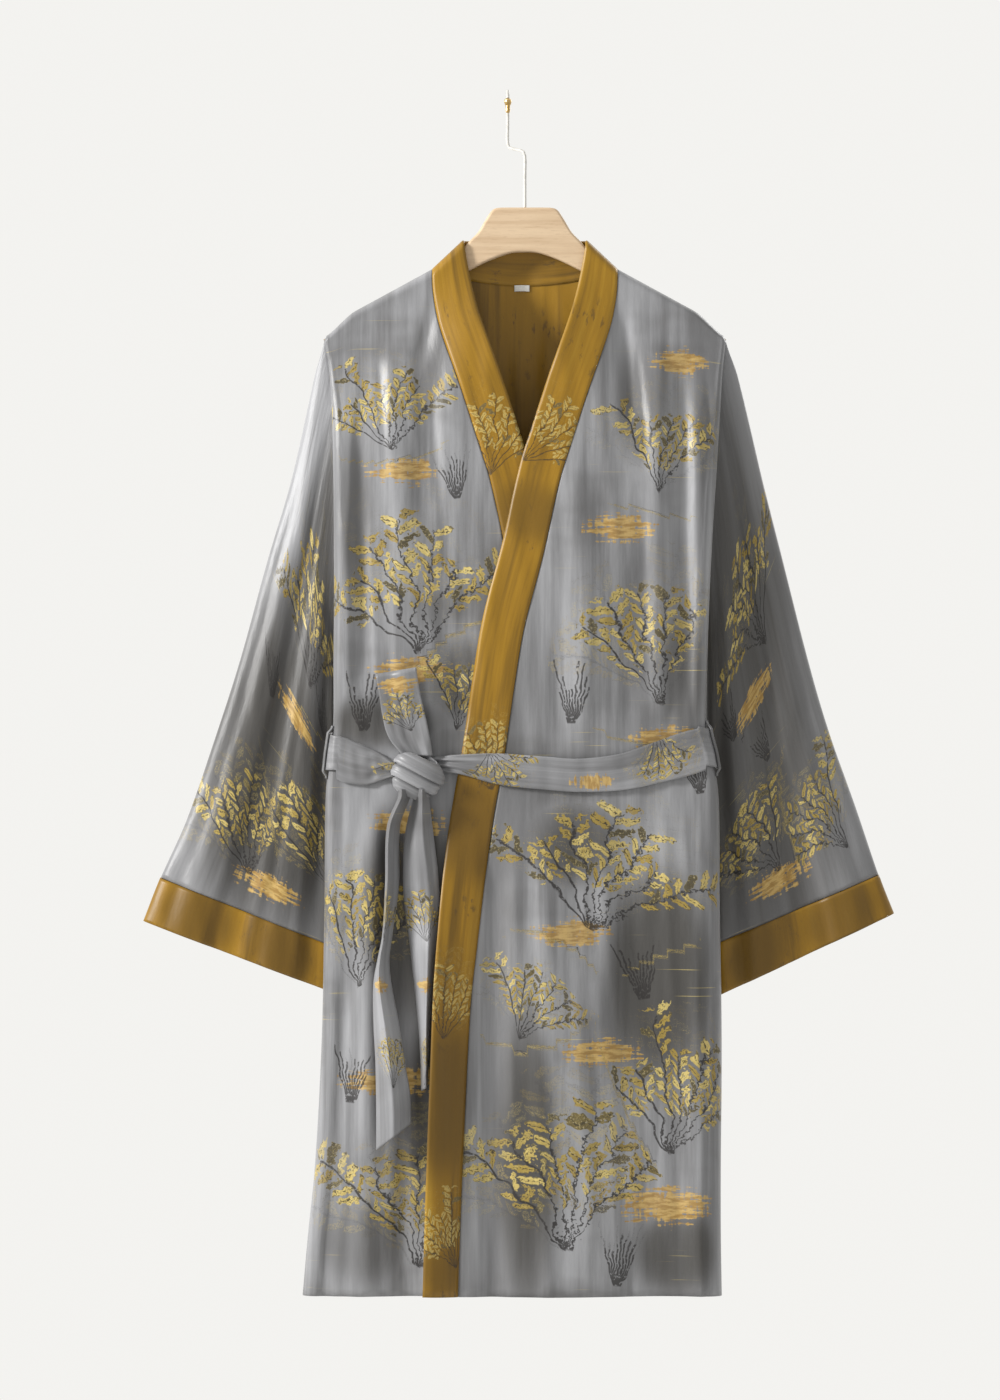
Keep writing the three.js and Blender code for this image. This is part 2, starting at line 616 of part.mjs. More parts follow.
// A narrow loop on a side seam that the belt runs through.
function beltLoop(name) {
  const q = name === 'right' ? LOOP.turn : 5 - LOOP.turn;
  const [low, top] = beltHeights(q, 0);
  const clear = BELT_CLEAR + BELT_CLOTH + SEAM;
  const rampUp = (v) => smooth((v - LOOP.edge) / LOOP.ramp);
  const rows = steps(8, (v) => {
    const z = lerp(low - LOOP.rise, top + LOOP.rise, v);
    const out = LOOP.cloth + LOOP.off + clear * rampUp(v) * rampUp(1 - v);
    return [-1, 1].map((k) => {
      const at = q + k * LOOP.half;
      const here = sectionPoint(at, z);
      const a = sectionPoint(at - 0.02, z);
      const b = sectionPoint(at + 0.02, z);
      return here.addScaledVector(V(b.y - a.y, a.x - b.x, 0).normalize(), out);
    });
  });
  return wall(rows.reverse(), LOOP.cloth);
}

const KNOT_POINTS = 18;
const KNOT_SIDES = 18;
const WRAP_HEIGHT = 0.09;
const KNOT_BLUNT = 0.75;
const KNOT_OFF = 2;

// The knot: a flattened round bundle with its wraps as ridges, lying on the robe's front.
function knot(grow = 0) {
  const profile = steps(KNOT_POINTS, (t) => {
    const a = Math.PI * t;
    const wrap = 1 + WRAP_HEIGHT * Math.cos(2 * Math.PI * KNOT.wraps * t - Math.PI) * Math.sin(a);
    const r = t === 0 || t === 1 ? 0 : (KNOT.across + grow) * Math.sin(a) ** KNOT_BLUNT * wrap;
    return new THREE.Vector2(r, -(KNOT.along + grow) * Math.cos(a));
  });
  const body = new THREE.LatheGeometry(profile, KNOT_SIDES);
  body.scale(1, 1, (KNOT.deep + grow) / (KNOT.across + grow));
  body.rotateX(Math.PI / 2);
  body.rotateY(degrees(90 + KNOT.slope));
  const deep = frontDepth(KNOT.x, KNOT.z, false) + KNOT.deep + KNOT_OFF;
  body.translate(KNOT.x, -deep, KNOT.z);
  return tidy(body);
}

function tidy(geometry) {
  geometry.deleteAttribute('normal');
  geometry.deleteAttribute('uv');
  return mergeVertices(geometry, 1e-4);
}

// How far a strip's crease stands in front of its two edges, so that its width stays the belt's.
function creaseRise(wide, crease) {
  let low = 0;
  let high = BELT_WIDTH;
  for (let i = 0; i < 30; i += 1) {
    const rise = (low + high) / 2;
    const width = Math.hypot(wide * crease, rise) + Math.hypot(wide * (1 - crease), rise);
    if (width > BELT_WIDTH) high = rise;
    else low = rise;
  }
  return low;
}

const END_ROWS = 24;
const END_UP = 8;
const END_CUT_FROM = 0.8;
const CREASE_SOFT = 0.25;

// A hanging end of the belt, creased lengthwise so that it shows narrower than it is.
function hangingEnd(table, slant) {
  const topZ = table[0].z;
  const lowZ = table[table.length - 1].z;
  const rows = steps(END_ROWS, (v) => {
    const z = lerp(topZ + END_UP, lowZ, v);
    const get = (key) => column(table, 'z', z, key);
    const wide = get('right') - get('left');
    const rise = creaseRise(wide, get('crease'));
    const under = [0, 0.5, 1].map((k) => frontDepth(lerp(get('left'), get('right'), k), z, false));
    const base = Math.max(...under) + get('clear') + BELT_CLOTH;
    return [0, 0.5, 1, 1.5, 2].map((k) => {
      const u = k < 1 ? get('crease') * k : lerp(get('crease'), 1, k - 1);
      const peak = 1 - Math.abs(k - 1);
      const soft = lerp(peak, peak * (2 - peak), CREASE_SOFT);
      const cut = slant * (1 - u) * smooth((v - END_CUT_FROM) / (1 - END_CUT_FROM));
      return V(lerp(get('left'), get('right'), u), -base - rise * soft, z - cut);
    });
  });
  return wall(rows, BELT_CLOTH);
}

const LOOP_ROWS = 7;
const LOOP_BEND = 5;

// The loop that stands up out of the knot: up in front, over, and down behind.
function bowLoop() {
  const low = BOW_LOOP[0].z;
  const high = BOW_LOOP[BOW_LOOP.length - 1].z;
  const row = (z, offset, extra) => [0, 0.33, 0.67, 1].map((u) => {
    const left = column(BOW_LOOP, 'z', z, 'left');
    const right = column(BOW_LOOP, 'z', z, 'right');
    const x = lerp(left, right, u);
    const base = frontDepth(x, z, false) + BELT_CLOTH + BOW_LOOP_GAP + BOW_LOOP_OFF;
    const tilt = BOW_LOOP_TILT * u * smooth((z - low) / (high - low));
    return V(x, -base + offset, z + tilt + extra);
  });
  const front = steps(LOOP_ROWS, (v) => row(lerp(low, high, v), -BOW_LOOP_GAP, 0));
  const over = steps(LOOP_BEND, (v) => row(
    high,
    -BOW_LOOP_GAP * Math.cos(Math.PI * v),
    BOW_LOOP_GAP * Math.sin(Math.PI * v),
  )).slice(1, -1);
  const behind = steps(LOOP_ROWS, (v) => row(lerp(high, low, v), BOW_LOOP_GAP, 0));
  return wall([...front, ...over, ...behind].reverse(), BELT_CLOTH);
}

const LABEL = { x: -3, wide: 16, tall: 6.5, cloth: 1, drop: 1 };

function sizeLabel() {
  const top = backTopZ(LABEL.x) - LABEL.drop;
  const rows = steps(2, (v) => steps(3, (u) => {
    const x = LABEL.x + LABEL.wide * (u - 0.5);
    const z = top - LABEL.tall * v;
    return V(x, backDepth(x, z) - CLOTH - SEAM - LABEL.cloth, z);
  }));
  return wall(rows, LABEL.cloth);
}

const armZ = (x) => crestZ(x) - WOOD_CLEAR;

// The hanger's right half from the middle of its top round to the middle of its underside. Under the
// robe's shoulders the height is given as a drop below the line of the arm.
const HANGER_HALF = [
  { x: 30, z: WOOD_TOP_Z },
  { x: 35, z: -125 },
  { x: 42.5, z: -135 },
  { x: 49.5, z: -148 },
  { x: 59.5, z: -158 },
  { x: 71, z: -172 },
  { x: 100, drop: 1 },
  { x: 194, drop: 0 },
  { x: 200, drop: 5 },
  { x: 201, drop: 12.5 },
  { x: 196, drop: 21.2 },
  { x: 160, drop: 24 },
  { x: 110, drop: 26 },
  { x: 86, z: -200 },
  { x: 64, z: -193 },
  { x: 36, z: -180 },
  { x: 14, z: -171 },
];

// The wooden hanger, a flat board cut to a symmetric outline with its edges eased.
function hanger() {
  const half = HANGER_HALF.map((row) => [row.x, row.z ?? armZ(row.x) - row.drop]);
  const outline = [...half, ...half.map(([x, z]) => [-x, z]).reverse()];
  const shape = new THREE.Shape(outline.map(([x, z]) => new THREE.Vector2(x, z)));
  const board = new THREE.ExtrudeGeometry(shape, {
    depth: 2 * (WOOD_HALF - WOOD_BEVEL),
    bevelEnabled: true,
    bevelSize: WOOD_BEVEL,
    bevelOffset: -WOOD_BEVEL,
    bevelThickness: WOOD_BEVEL,
    bevelSegments: 1,
  });
  board.translate(0, 0, -(WOOD_HALF - WOOD_BEVEL));
  board.rotateX(Math.PI / 2);
  return tidy(board);
}

// The middle line of the hook's wire below its arch: a stem up from the wood and a jog to the left.
const HOOK_STEM = [
  { x: 0, y: 0, z: -120.7 },
  { x: 0, y: 0, z: -91 },
  { x: 0, y: 0, z: -67 },
  { x: -1.5, y: 0.6, z: -62 },
  { x: -6, y: 3, z: -60 },
  { x: -12, y: 5.5, z: -58.5 },
  { x: -16.5, y: 7.4, z: -56.5 },
  { x: -18, y: 7.8, z: -51.5 },
  { x: -18, y: 7.8, z: -32 },
  { x: -18, y: 7.8, z: -12 },
];
const ARCH_STEPS = 8;
const WIRE_SIDES = 8;
const WIRE_STEPS = 44;

// The hook: its stem and jog, then an arch toward the viewer.
function hookWire() {
  const r = HOOK_R + WIRE_R;
  const stem = HOOK_STEM.map((row) => V(row.x, row.y, row.z));
  const arch = steps(ARCH_STEPS, (t) => V(
    -ROBE_X,
    r * Math.cos(Math.PI * t),
    -HOOK_R + r * Math.sin(Math.PI * t),
  ));
  const section = new THREE.Shape(steps(WIRE_SIDES, (t) => new THREE.Vector2(
    WIRE_R * Math.cos(2 * Math.PI * t),
    WIRE_R * Math.sin(2 * Math.PI * t),
  )).slice(0, -1));
  const wire = new THREE.ExtrudeGeometry(section, {
    steps: WIRE_STEPS,
    bevelEnabled: false,
    extrudePath: new THREE.CatmullRomCurve3([...stem, ...arch], false, 'centripetal'),
  });
  return tidy(wire);
}

// The brass tip's radius at each height, from its foot to its top: narrow below and wide above.
const TIP_PROFILE = [
  { z: -22, r: 0 },
  { z: -21.6, r: 1.6 },
  { z: -19.6, r: 2.4 },
  { z: -14, r: 2.4 },
  { z: -12.4, r: 3.3 },
  { z: -10, r: 3.9 },
  { z: -8, r: 3.6 },
  { z: -6.6, r: 2.4 },
  { z: -6.4, r: 0 },
];
const TIP_SIDES = 16;

// The brass tip on the hook's front end.
function hookTip() {
  const tip = new THREE.LatheGeometry(TIP_PROFILE.map((row) => new THREE.Vector2(row.r, row.z)), TIP_SIDES);
  tip.rotateX(Math.PI / 2);
  tip.translate(-ROBE_X, -(HOOK_R + WIRE_R), 0);
  return tidy(tip);
}

const wasm = await Module();
wasm.setup();

function toManifold(geometry) {
  return new wasm.Manifold(new wasm.Mesh({
    numProp: 3,
    vertProperties: new Float32Array(geometry.attributes.position.array),
    triVerts: new Uint32Array(geometry.index.array),
  }));
}

function cutBy(geometry, tool) {
  const mesh = toManifold(geometry).subtract(tool).getMesh();
  const cut = new THREE.BufferGeometry();
  cut.setAttribute('position', new THREE.BufferAttribute(mesh.vertProperties, 3));
  cut.setIndex(new THREE.BufferAttribute(mesh.triVerts, 1));
  return cut;
}

const paint = (color, roughness, metalness = 0) => (
  new THREE.MeshStandardMaterial({ color, roughness, metalness })
);
const grey = paint(COLOURS.grey, 0.62);
const ochre = paint(COLOURS.ochre, 0.62);
const knotSpace = toManifold(knot(SEAM));

const robe = new THREE.Group();
robe.position.x = ROBE_X;

function add(name, geometry, material) {
  const mesh = new THREE.Mesh(geometry, material);
  mesh.name = name;
  robe.add(mesh);
}

add('back_panel', backPanel(), grey);
add('left_front', frontPanel('right', true), grey);
add('right_front', frontPanel('left', false), grey);
add('left_sleeve', sleeve(SLEEVE_RIGHT, 'right'), grey);
add('right_sleeve', sleeve(SLEEVE_LEFT, 'left'), grey);
add('left_cuff', cuff(SLEEVE_RIGHT, 'right'), ochre);
add('right_cuff', cuff(SLEEVE_LEFT, 'left'), ochre);
add('collar_left', frontBand(1, true), ochre);
add('collar_right', frontBand(-1, false), ochre);
add('collar_back', neckBand(), ochre);
add('belt_round', cutBy(beltRound(), knotSpace), grey);
add('belt_knot', knot(), grey);
add('belt_bow_loop', cutBy(bowLoop(), knotSpace), grey);
add('belt_end_a', cutBy(hangingEnd(END_A, END_A_SLANT), knotSpace), grey);
add('belt_end_b', cutBy(hangingEnd(END_B, END_B_SLANT), knotSpace), grey);
add('belt_loop_left', beltLoop('right'), grey);
add('belt_loop_right', beltLoop('left'), grey);
add('size_label', sizeLabel(), paint(COLOURS.label, 0.62));
add('hanger', hanger(), paint(COLOURS.wood, 0.5));
add('hook_wire', hookWire(), paint(COLOURS.wire, 0.35, 0.6));
add('hook_tip', hookTip(), paint(COLOURS.brass, 0.3, 1));

const model = new THREE.Group();
model.add(robe);

export default model;
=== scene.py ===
import math

import bmesh
import bpy
import numpy as np
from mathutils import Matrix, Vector


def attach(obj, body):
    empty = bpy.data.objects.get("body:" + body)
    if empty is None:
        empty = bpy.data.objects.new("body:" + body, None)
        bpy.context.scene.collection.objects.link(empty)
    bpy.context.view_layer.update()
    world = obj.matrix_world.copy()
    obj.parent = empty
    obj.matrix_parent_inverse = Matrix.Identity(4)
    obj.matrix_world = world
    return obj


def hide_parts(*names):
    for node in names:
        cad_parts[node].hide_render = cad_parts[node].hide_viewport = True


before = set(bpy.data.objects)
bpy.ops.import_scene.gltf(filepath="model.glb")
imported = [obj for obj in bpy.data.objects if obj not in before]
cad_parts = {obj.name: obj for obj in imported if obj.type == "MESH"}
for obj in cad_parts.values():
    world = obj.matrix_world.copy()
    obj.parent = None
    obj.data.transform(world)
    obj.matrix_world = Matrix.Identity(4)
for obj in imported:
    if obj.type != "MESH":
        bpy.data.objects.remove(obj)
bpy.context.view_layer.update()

# Floor, light and camera.
# A plain pale studio: a floor about a metre below the hem, air that is bright behind the robe and
# dimmer in front of it, and a soft key from the upper left of the front. The camera stands seven
# metres away, square to the robe as in the photograph.
MM = 0.001
ROBE_X = 18.0
PIXEL = 1.05
PHOTO_TALL, PHOTO_MIDDLE, HOOK_PIXEL = 1400, (500, 700), (525, 90)
CAMERA_FAR = 7.0
ROBE_FACE_Y = -0.035
SENSOR = 36.0
FLOOR_WIDE, FLOOR_Z = 5, -2.2

floor_paint = bpy.data.materials.new("studio_floor_paint")
floor_paint.use_nodes = True
paint = floor_paint.node_tree.nodes["Principled BSDF"]
paint.inputs["Base Color"].default_value = (0.66, 0.655, 0.64, 1)
paint.inputs["Roughness"].default_value = 0.9
bpy.ops.mesh.primitive_plane_add(size=FLOOR_WIDE, location=(0, 0, FLOOR_Z))
floor = bpy.context.object
floor.name = "studio_floor"
floor.data.materials.append(floor_paint)

AIR_BRIGHT, AIR_DIM = 0.90, 0.56
AIR_IN_FRONT, AIR_BEHIND = -0.75, 0.45
world = bpy.data.worlds.new("studio_air")
world.use_nodes = True
air = world.node_tree
toward = air.nodes.new("ShaderNodeTexCoord")
split = air.nodes.new("ShaderNodeSeparateXYZ")
ahead = air.nodes.new("ShaderNodeMapRange")
ahead.interpolation_type = "SMOOTHSTEP"
for name, value in (
    ("From Min", AIR_IN_FRONT), ("From Max", AIR_BEHIND), ("To Min", AIR_DIM), ("To Max", AIR_BRIGHT),
):
    ahead.inputs[name].default_value = value
air.links.new(toward.outputs["Generated"], split.inputs[0])
air.links.new(split.outputs["Y"], ahead.inputs["Value"])
air.links.new(ahead.outputs["Result"], air.nodes["Background"].inputs["Strength"])
air.nodes["Background"].inputs["Color"].default_value = (1, 0.992, 0.965, 1)
bpy.context.scene.world = world
bpy.context.scene.view_settings.view_transform = "Standard"

LIT_POINT = (0.0, 0, -0.6)


def soft_light(name, place, size, watts, colour=(1, 1, 1)):
    lamp = bpy.data.lights.new(name, "AREA")
    lamp.shape = "DISK"
    lamp.size = size
    lamp.energy = watts
    lamp.color = colour
    body = bpy.data.objects.new(name, lamp)
    body.location = place
    body.rotation_euler = (Vector(LIT_POINT) - Vector(place)).to_track_quat("-Z", "Y").to_euler()
    bpy.context.scene.collection.objects.link(body)


soft_light("key_light", (-3.1, -1.35, 0.7), 0.7, 150, (1, 0.99, 0.975))
soft_light("back_fill", (1.8, 2.6, 0.8), 1.6, 30)

lens = bpy.data.cameras.new("photo_camera")
lens.sensor_fit = "VERTICAL"
lens.sensor_height = SENSOR
lens.lens = SENSOR * CAMERA_FAR / (PHOTO_TALL * PIXEL * MM)
camera = bpy.data.objects.new("photo_camera", lens)
middle_x = ((PHOTO_MIDDLE[0] - HOOK_PIXEL[0]) * PIXEL + ROBE_X) * MM
middle_z = -(PHOTO_MIDDLE[1] - HOOK_PIXEL[1]) * PIXEL * MM
camera.location = (middle_x, ROBE_FACE_Y - CAMERA_FAR, middle_z)
camera.rotation_euler = (math.pi / 2, 0, 0)
bpy.context.scene.collection.objects.link(camera)
bpy.context.scene.camera = camera


# Back.
# One piece of printed satin from hem to shoulders, with the neck cut out of its top. It hangs from
# the hanger's arms, and its sides meet the fronts behind the turned edges.
BACK_FLAT = (0.47, 1.09)
SHELL = 1.3
BACK_ROWS, BACK_COLUMNS = 190, 132
ROW_EASE, COLUMN_EASE = 1.5, 0.09

# The hanging shape, which every other cut piece follows too: the line over the hanger, the depth of
# each layer below it, the side edges and the folds, in millimetres from the robe's own middle line.
HEM_Z = -1266.0
NECK_X, NECK_Z, NECK_RISE = 98.0, -186.0, 0.94
TIP_X, TIP_Z = 212.0, -248.0
UNDERARM_Z, UNDERARM_FADE = -493.0, 130.0
CREST_R, CREST_REACH, CROWN = 9.5, 160.0, 0.1
SIDE_TURN, SIDE_BLEND = 0.375, 62.0
OVERLAP_LIFT = 5.5
BACK_NECK_DROP = 15.0
TIP_EASE, TIP_EASE_X, TIP_EASE_LOW, TIP_EASE_TALL = 10.0, 178.0, 55.0, 50.0
SEAM = 0.3
SEAM_NEAR, SEAM_ROUND, SEAM_LIFT = 12.0, 5.0, 40.0
LAP_TOP, LAP_TALL, LAP_FROM, LAP_WIDE = -290, 70, 70, 110
FOLD_START, CREASE_START, FOLD_TOP, FOLD_LOW = 90, 90, 60, 40
TURN_INSET, TURN_LEAST, TURN_MORE = 12, 4, 0.333


def table(names, *rows):
    columns = np.array(sorted(rows), float).T
    return dict(zip(names.split(), columns))


def column(rows, name, value):
    """A column of a table at a value of its first column, by a smooth cubic through the rows."""
    xs = next(iter(rows.values()))
    ys = rows[name]
    last = len(xs) - 1
    value = np.clip(value, xs[0], xs[-1])
    i = np.clip(np.searchsorted(xs, value, side="right") - 1, 0, last - 1)
    gap = xs[i + 1] - xs[i]
    t = (value - xs[i]) / gap

    def slope(k):
        a, b = np.maximum(k - 1, 0), np.minimum(k + 1, last)
        return (ys[b] - ys[a]) / (xs[b] - xs[a]) * gap

    p, q, m, n = ys[i], ys[i + 1], slope(i), slope(i + 1)
    return p + t * m + t**2 * (3 * q - 3 * p - 2 * m - n) + t**3 * (2 * p - 2 * q + m + n)


def smooth(t):
    t = np.clip(t, 0, 1)
    return t * t * (3 - 2 * t)


def mix(a, b, t):
    return a + (b - a) * t


def points(*parts):
    """Rows by columns of points from their coordinates."""
    return np.stack(np.broadcast_arrays(*parts), -1)


SIDES = table(
    "z left right",
    (-1267, -234, 207), (-1200, -228, 206), (-1130, -221, 206), (-1000, -214, 207), (-850, -211, 205),
    (-745, -210, 204), (-700, -206, 198), (-668, -202, 191), (-600, -201.5, 192), (-493, -201, 196),
    (-350, -203, 205), (-285, -207, 209), (-248, -212, 212),
)
DEPTHS = table(
    "z front back",
    (-1266, 48, 34), (-1130, 46, 34), (-1000, 43, 32), (-850, 38, 28), (-700, 31, 22),
    (-600, 36, 27), (-450, 34, 26), (-300, 32, 24), (-186, 30, 24),
)
FRONT_FOLDS = [
    # x, lean, half width, height, top, low
    (-104, -6, 9, -6, -195, -300), (-104, 0, 15, -5, -260, -470), (-133, 6, 14, 4, -240, -672),
    (-171, 2, 13, -4.5, -330, -640), (-187, 0, 9, 4, -300, -672), (-72, 8, 20, -5, -520, -685),
    (-122, 2, 21, -9, -735, -1300), (-165, -8, 14, 5, -740, -1300), (-199, -14, 10, -4, -900, -1300),
    (108, 6, 10, -7, -198, -372), (58, 8, 18, 4, -360, -672), (112, -6, 22, -5, -470, -685),
    (140, 4, 12, 5, -230, -672), (168, 4, 10, -4, -260, -660), (183, 4, 9, 4, -300, -672),
    (-32, -2, 15, -7, -780, -1300), (24, 10, 30, 7, -745, -1300), (122, 14, 32, -8, -745, -1300),
    (182, 4, 12, 5, -760, -1300),
]
FRONT_CREASES = [
    (-150, 5, 5, -1.6, -262, -420), (-118, 8, 6, 1.4, -250, -410), (-188, -3, 4, -1.5, -290, -470),
    (-90, 10, 6, -1.6, -300, -520), (-160, 4, 5, 1.3, -420, -640), (-140, 6, 5, -1.5, -560, -700),
    (-100, 14, 7, 1.6, -560, -700), (-176, 3, 5, 1.3, -600, -705), (-60, 10, 6, -1.4, -470, -640),
    (-187, -5, 6, 1.5, -730, -900), (-150, -4, 6, -1.8, -728, -930), (-96, 3, 7, 1.8, -760, -1060),
    (-182, -10, 6, -1.4, -960, -1290), (-140, -4, 7, 1.5, -1000, -1290), (-108, 2, 5, -1.3, -1060, -1290),
    (122, 6, 5, -1.6, -236, -400), (155, 4, 5, -1.7, -262, -520), (193, 2, 4, -1.5, -285, -440),
    (88, 12, 7, 1.5, -300, -500), (126, 0, 6, -1.4, -420, -640), (76, 4, 7, -1.4, -500, -690),
    (152, 0, 6, -1.5, -560, -700), (36, 8, 8, -1.3, -560, -700), (98, -2, 6, 1.3, -600, -705),
    (172, 2, 4, 1.2, -600, -700), (0, 2, 6, -1.3, -620, -704), (52, 4, 7, -1.8, -742, -900),
    (84, 8, 7, 1.6, -742, -960), (150, 6, 7, 1.7, -738, -980), (176, 2, 5, -1.6, -742, -900),
    (8, 4, 8, -1.8, -742, -1010), (-12, -2, 5, 1.4, -800, -1100), (64, 6, 9, 1.6, -950, -1290),
    (104, 6, 7, -1.5, -1020, -1290), (160, 6, 6, -1.6, -980, -1290), (190, 3, 4, -1.4, -900, -1200),
    (20, 6, 6, 1.3, -1080, -1290), (40, 4, 6, -1.4, -1120, -1290),
]
BACK_FOLDS = [
    (-128, -6, 20, 5, -210, -665), (-72, 8, 18, -4, -240, -665), (-6, 0, 26, 4, -280, -665),
    (66, -6, 18, -5, -230, -665), (124, 8, 19, 5, -215, -665), (-146, -16, 20, 7, -726, -1300),
    (-88, -6, 22, -7, -730, -1300), (-22, 4, 26, 7, -722, -1300), (44, 4, 22, -7, -730, -1300),
    (104, 8, 24, 7, -726, -1300), (158, 8, 15, -5, -740, -1300),
]
BACK_CREASES = [
    (-160, -4, 7, -1.8, -270, -480), (-104, 4, 8, 1.5, -220, -420), (-40, 3, 9, -1.6, -215, -430),
    (24, -4, 8, 1.5, -215, -470), (92, 4, 7, -1.7, -240, -520), (152, 4, 6, 1.6, -262, -500),
    (-150, -4, 8, 1.4, -480, -690), (-98, 0, 6, -1.6, -540, -700), (-52, 4, 8, 1.6, -560, -702),
    (-8, 0, 6, -1.5, -600, -704), (36, -2, 7, 1.5, -560, -702), (84, 0, 6, -1.6, -540, -702),
    (138, 2, 6, 1.6, -520, -700), (-172, -10, 7, -1.8, -716, -980), (-120, -6, 7, 1.6, -716, -900),
    (-66, -2, 6, -1.7, -716, -880), (-40, 0, 6, 1.4, -716, -960), (8, 2, 7, -1.7, -716, -930),
    (70, 4, 7, 1.6, -716, -960), (128, 6, 7, -1.6, -716, -900), (176, 5, 5, 1.5, -716, -1000),
    (-110, -8, 8, 1.5, -1000, -1290), (-52, 0, 9, -1.4, -960, -1290), (20, 3, 8, 1.5, -1040, -1290),
    (74, 5, 7, -1.5, -1010, -1290), (134, 6, 8, 1.6, -960, -1290),
]


def fold_height(folds, x, z):
    total = 0.0
    for place, lean, half, high, top, low in folds:
        t = np.clip((top - z) / (top - low), 0, 1)
        fade = smooth((top - z) / FOLD_TOP) * smooth((z - low) / FOLD_LOW)
        q = (x - place - lean * (2 * t - 1)) / half
        total = total + high * fade * np.exp(-q * q)
    return total


def crest_z(x):
    a = np.abs(x)
    fall = (NECK_Z - TIP_Z) / (TIP_X - NECK_X)
    return np.where(a > NECK_X, NECK_Z - fall * (a - NECK_X), NECK_Z + NECK_RISE * (NECK_X - a))


def depth_at(x, z, side, folds):
    """How far a layer stands from the middle plane: round over the crest, then filling out."""
    d = np.maximum(crest_z(x) - z, 0)
    over = CREST_R * np.sqrt(1 - (1 - np.clip(d / CREST_R, 0, 1)) ** 2)
    full = column(DEPTHS, side, z)
    crown = 1 - CROWN * (x / TIP_X) ** 2
    loose = smooth((d - CREST_R) / CREST_REACH)
    return over + (full * crown - CREST_R) * loose + fold_height(folds, x, z) * smooth(d / FOLD_START)


def ripple(x, z):
    """The small uneven waves of thin cloth, alike on every layer that lies together."""
    wave = np.sin(x * 0.171 + 1.7 * np.sin(z * 0.0131)) * np.sin(z * 0.0173 + 0.6)
    wave = wave + 0.6 * np.sin(x * 0.093 - z * 0.021 + 2.0) * np.sin(z * 0.0091 + x * 0.011)
    return 0.5 * wave + 0.22 * np.sin(x * 0.31 + z * 0.017) * np.sin(z * 0.037)


def front_depth(x, z, over):
    lift = OVERLAP_LIFT * smooth((LAP_TOP - z) / LAP_TALL) * (1 - smooth((x - LAP_FROM) / LAP_WIDE))
    near = smooth((crest_z(x) - z) / CREASE_START)
    fine = (fold_height(FRONT_CREASES, x, z) + ripple(x, z)) * near
    return depth_at(x, z, "front", FRONT_FOLDS) + (lift if over else 0) + fine


def back_depth(x, z):
    near = smooth((crest_z(x) - z) / CREASE_START)
    fine = (fold_height(BACK_CREASES, x, z) + ripple(x + 60, z)) * near
    return depth_at(x, z, "back", BACK_FOLDS) + fine


def front_edge(z, side, over):
    """Where a front turns round the side: the x that its flat part ends at, and the turn's shape."""
    sign = -1 if side == "left" else 1
    x = column(SIDES, side, z)
    deep = np.maximum(front_depth(x - sign * TURN_INSET, z, over), SEAM / 2)
    radius = np.maximum(SIDE_TURN * deep, TURN_LEAST)
    turn = math.pi * (0.5 + TURN_MORE * np.clip((deep - SEAM) / CREST_R, 0, 1))

    def point(angle):
        px = x - sign * (radius - radius * np.sin(angle))
        return px, -deep + SIDE_TURN * deep * (1 - np.cos(angle))

    return x - sign * radius, turn, point


def armhole_open(z):
    return smooth((z - UNDERARM_Z) / UNDERARM_FADE)


def back_edge(z, side):
    sign = -1 if side == "left" else 1
    _, turn, point = front_edge(z, side, side == "right")
    x, y = point(turn)
    x = x - sign * 2 * SEAM
    level = mix(y + SEAM, back_depth(x, z), armhole_open(z))
    return x, np.maximum(level, y + SEAM)


def back_y(x, z, start, end):
    """The back's level between its two edges, filling out from each."""
    near = np.minimum(x - start[0], end[0] - x)
    t = np.clip(near / SIDE_BLEND, 0, 1)
    edge = np.where(x - start[0] < end[0] - x, start[1], end[1])
    return mix(edge, back_depth(x, z), np.maximum(1.5 * t - 0.5 * t**3, armhole_open(z)))


def back_top_z(x):
    a = np.abs(x) / NECK_X
    return np.where(a > 1, crest_z(x), NECK_Z - BACK_NECK_DROP * (1 - a * a))


def tip_drop(x, z):
    """How far the rounded tip of the shoulder falls below the straight line of the crest."""
    outward = smooth((np.abs(x) - TIP_EASE_X) / (TIP_X - TIP_EASE_X))
    return TIP_EASE * outward * smooth((z - TIP_Z + TIP_EASE_LOW) / TIP_EASE_TALL)


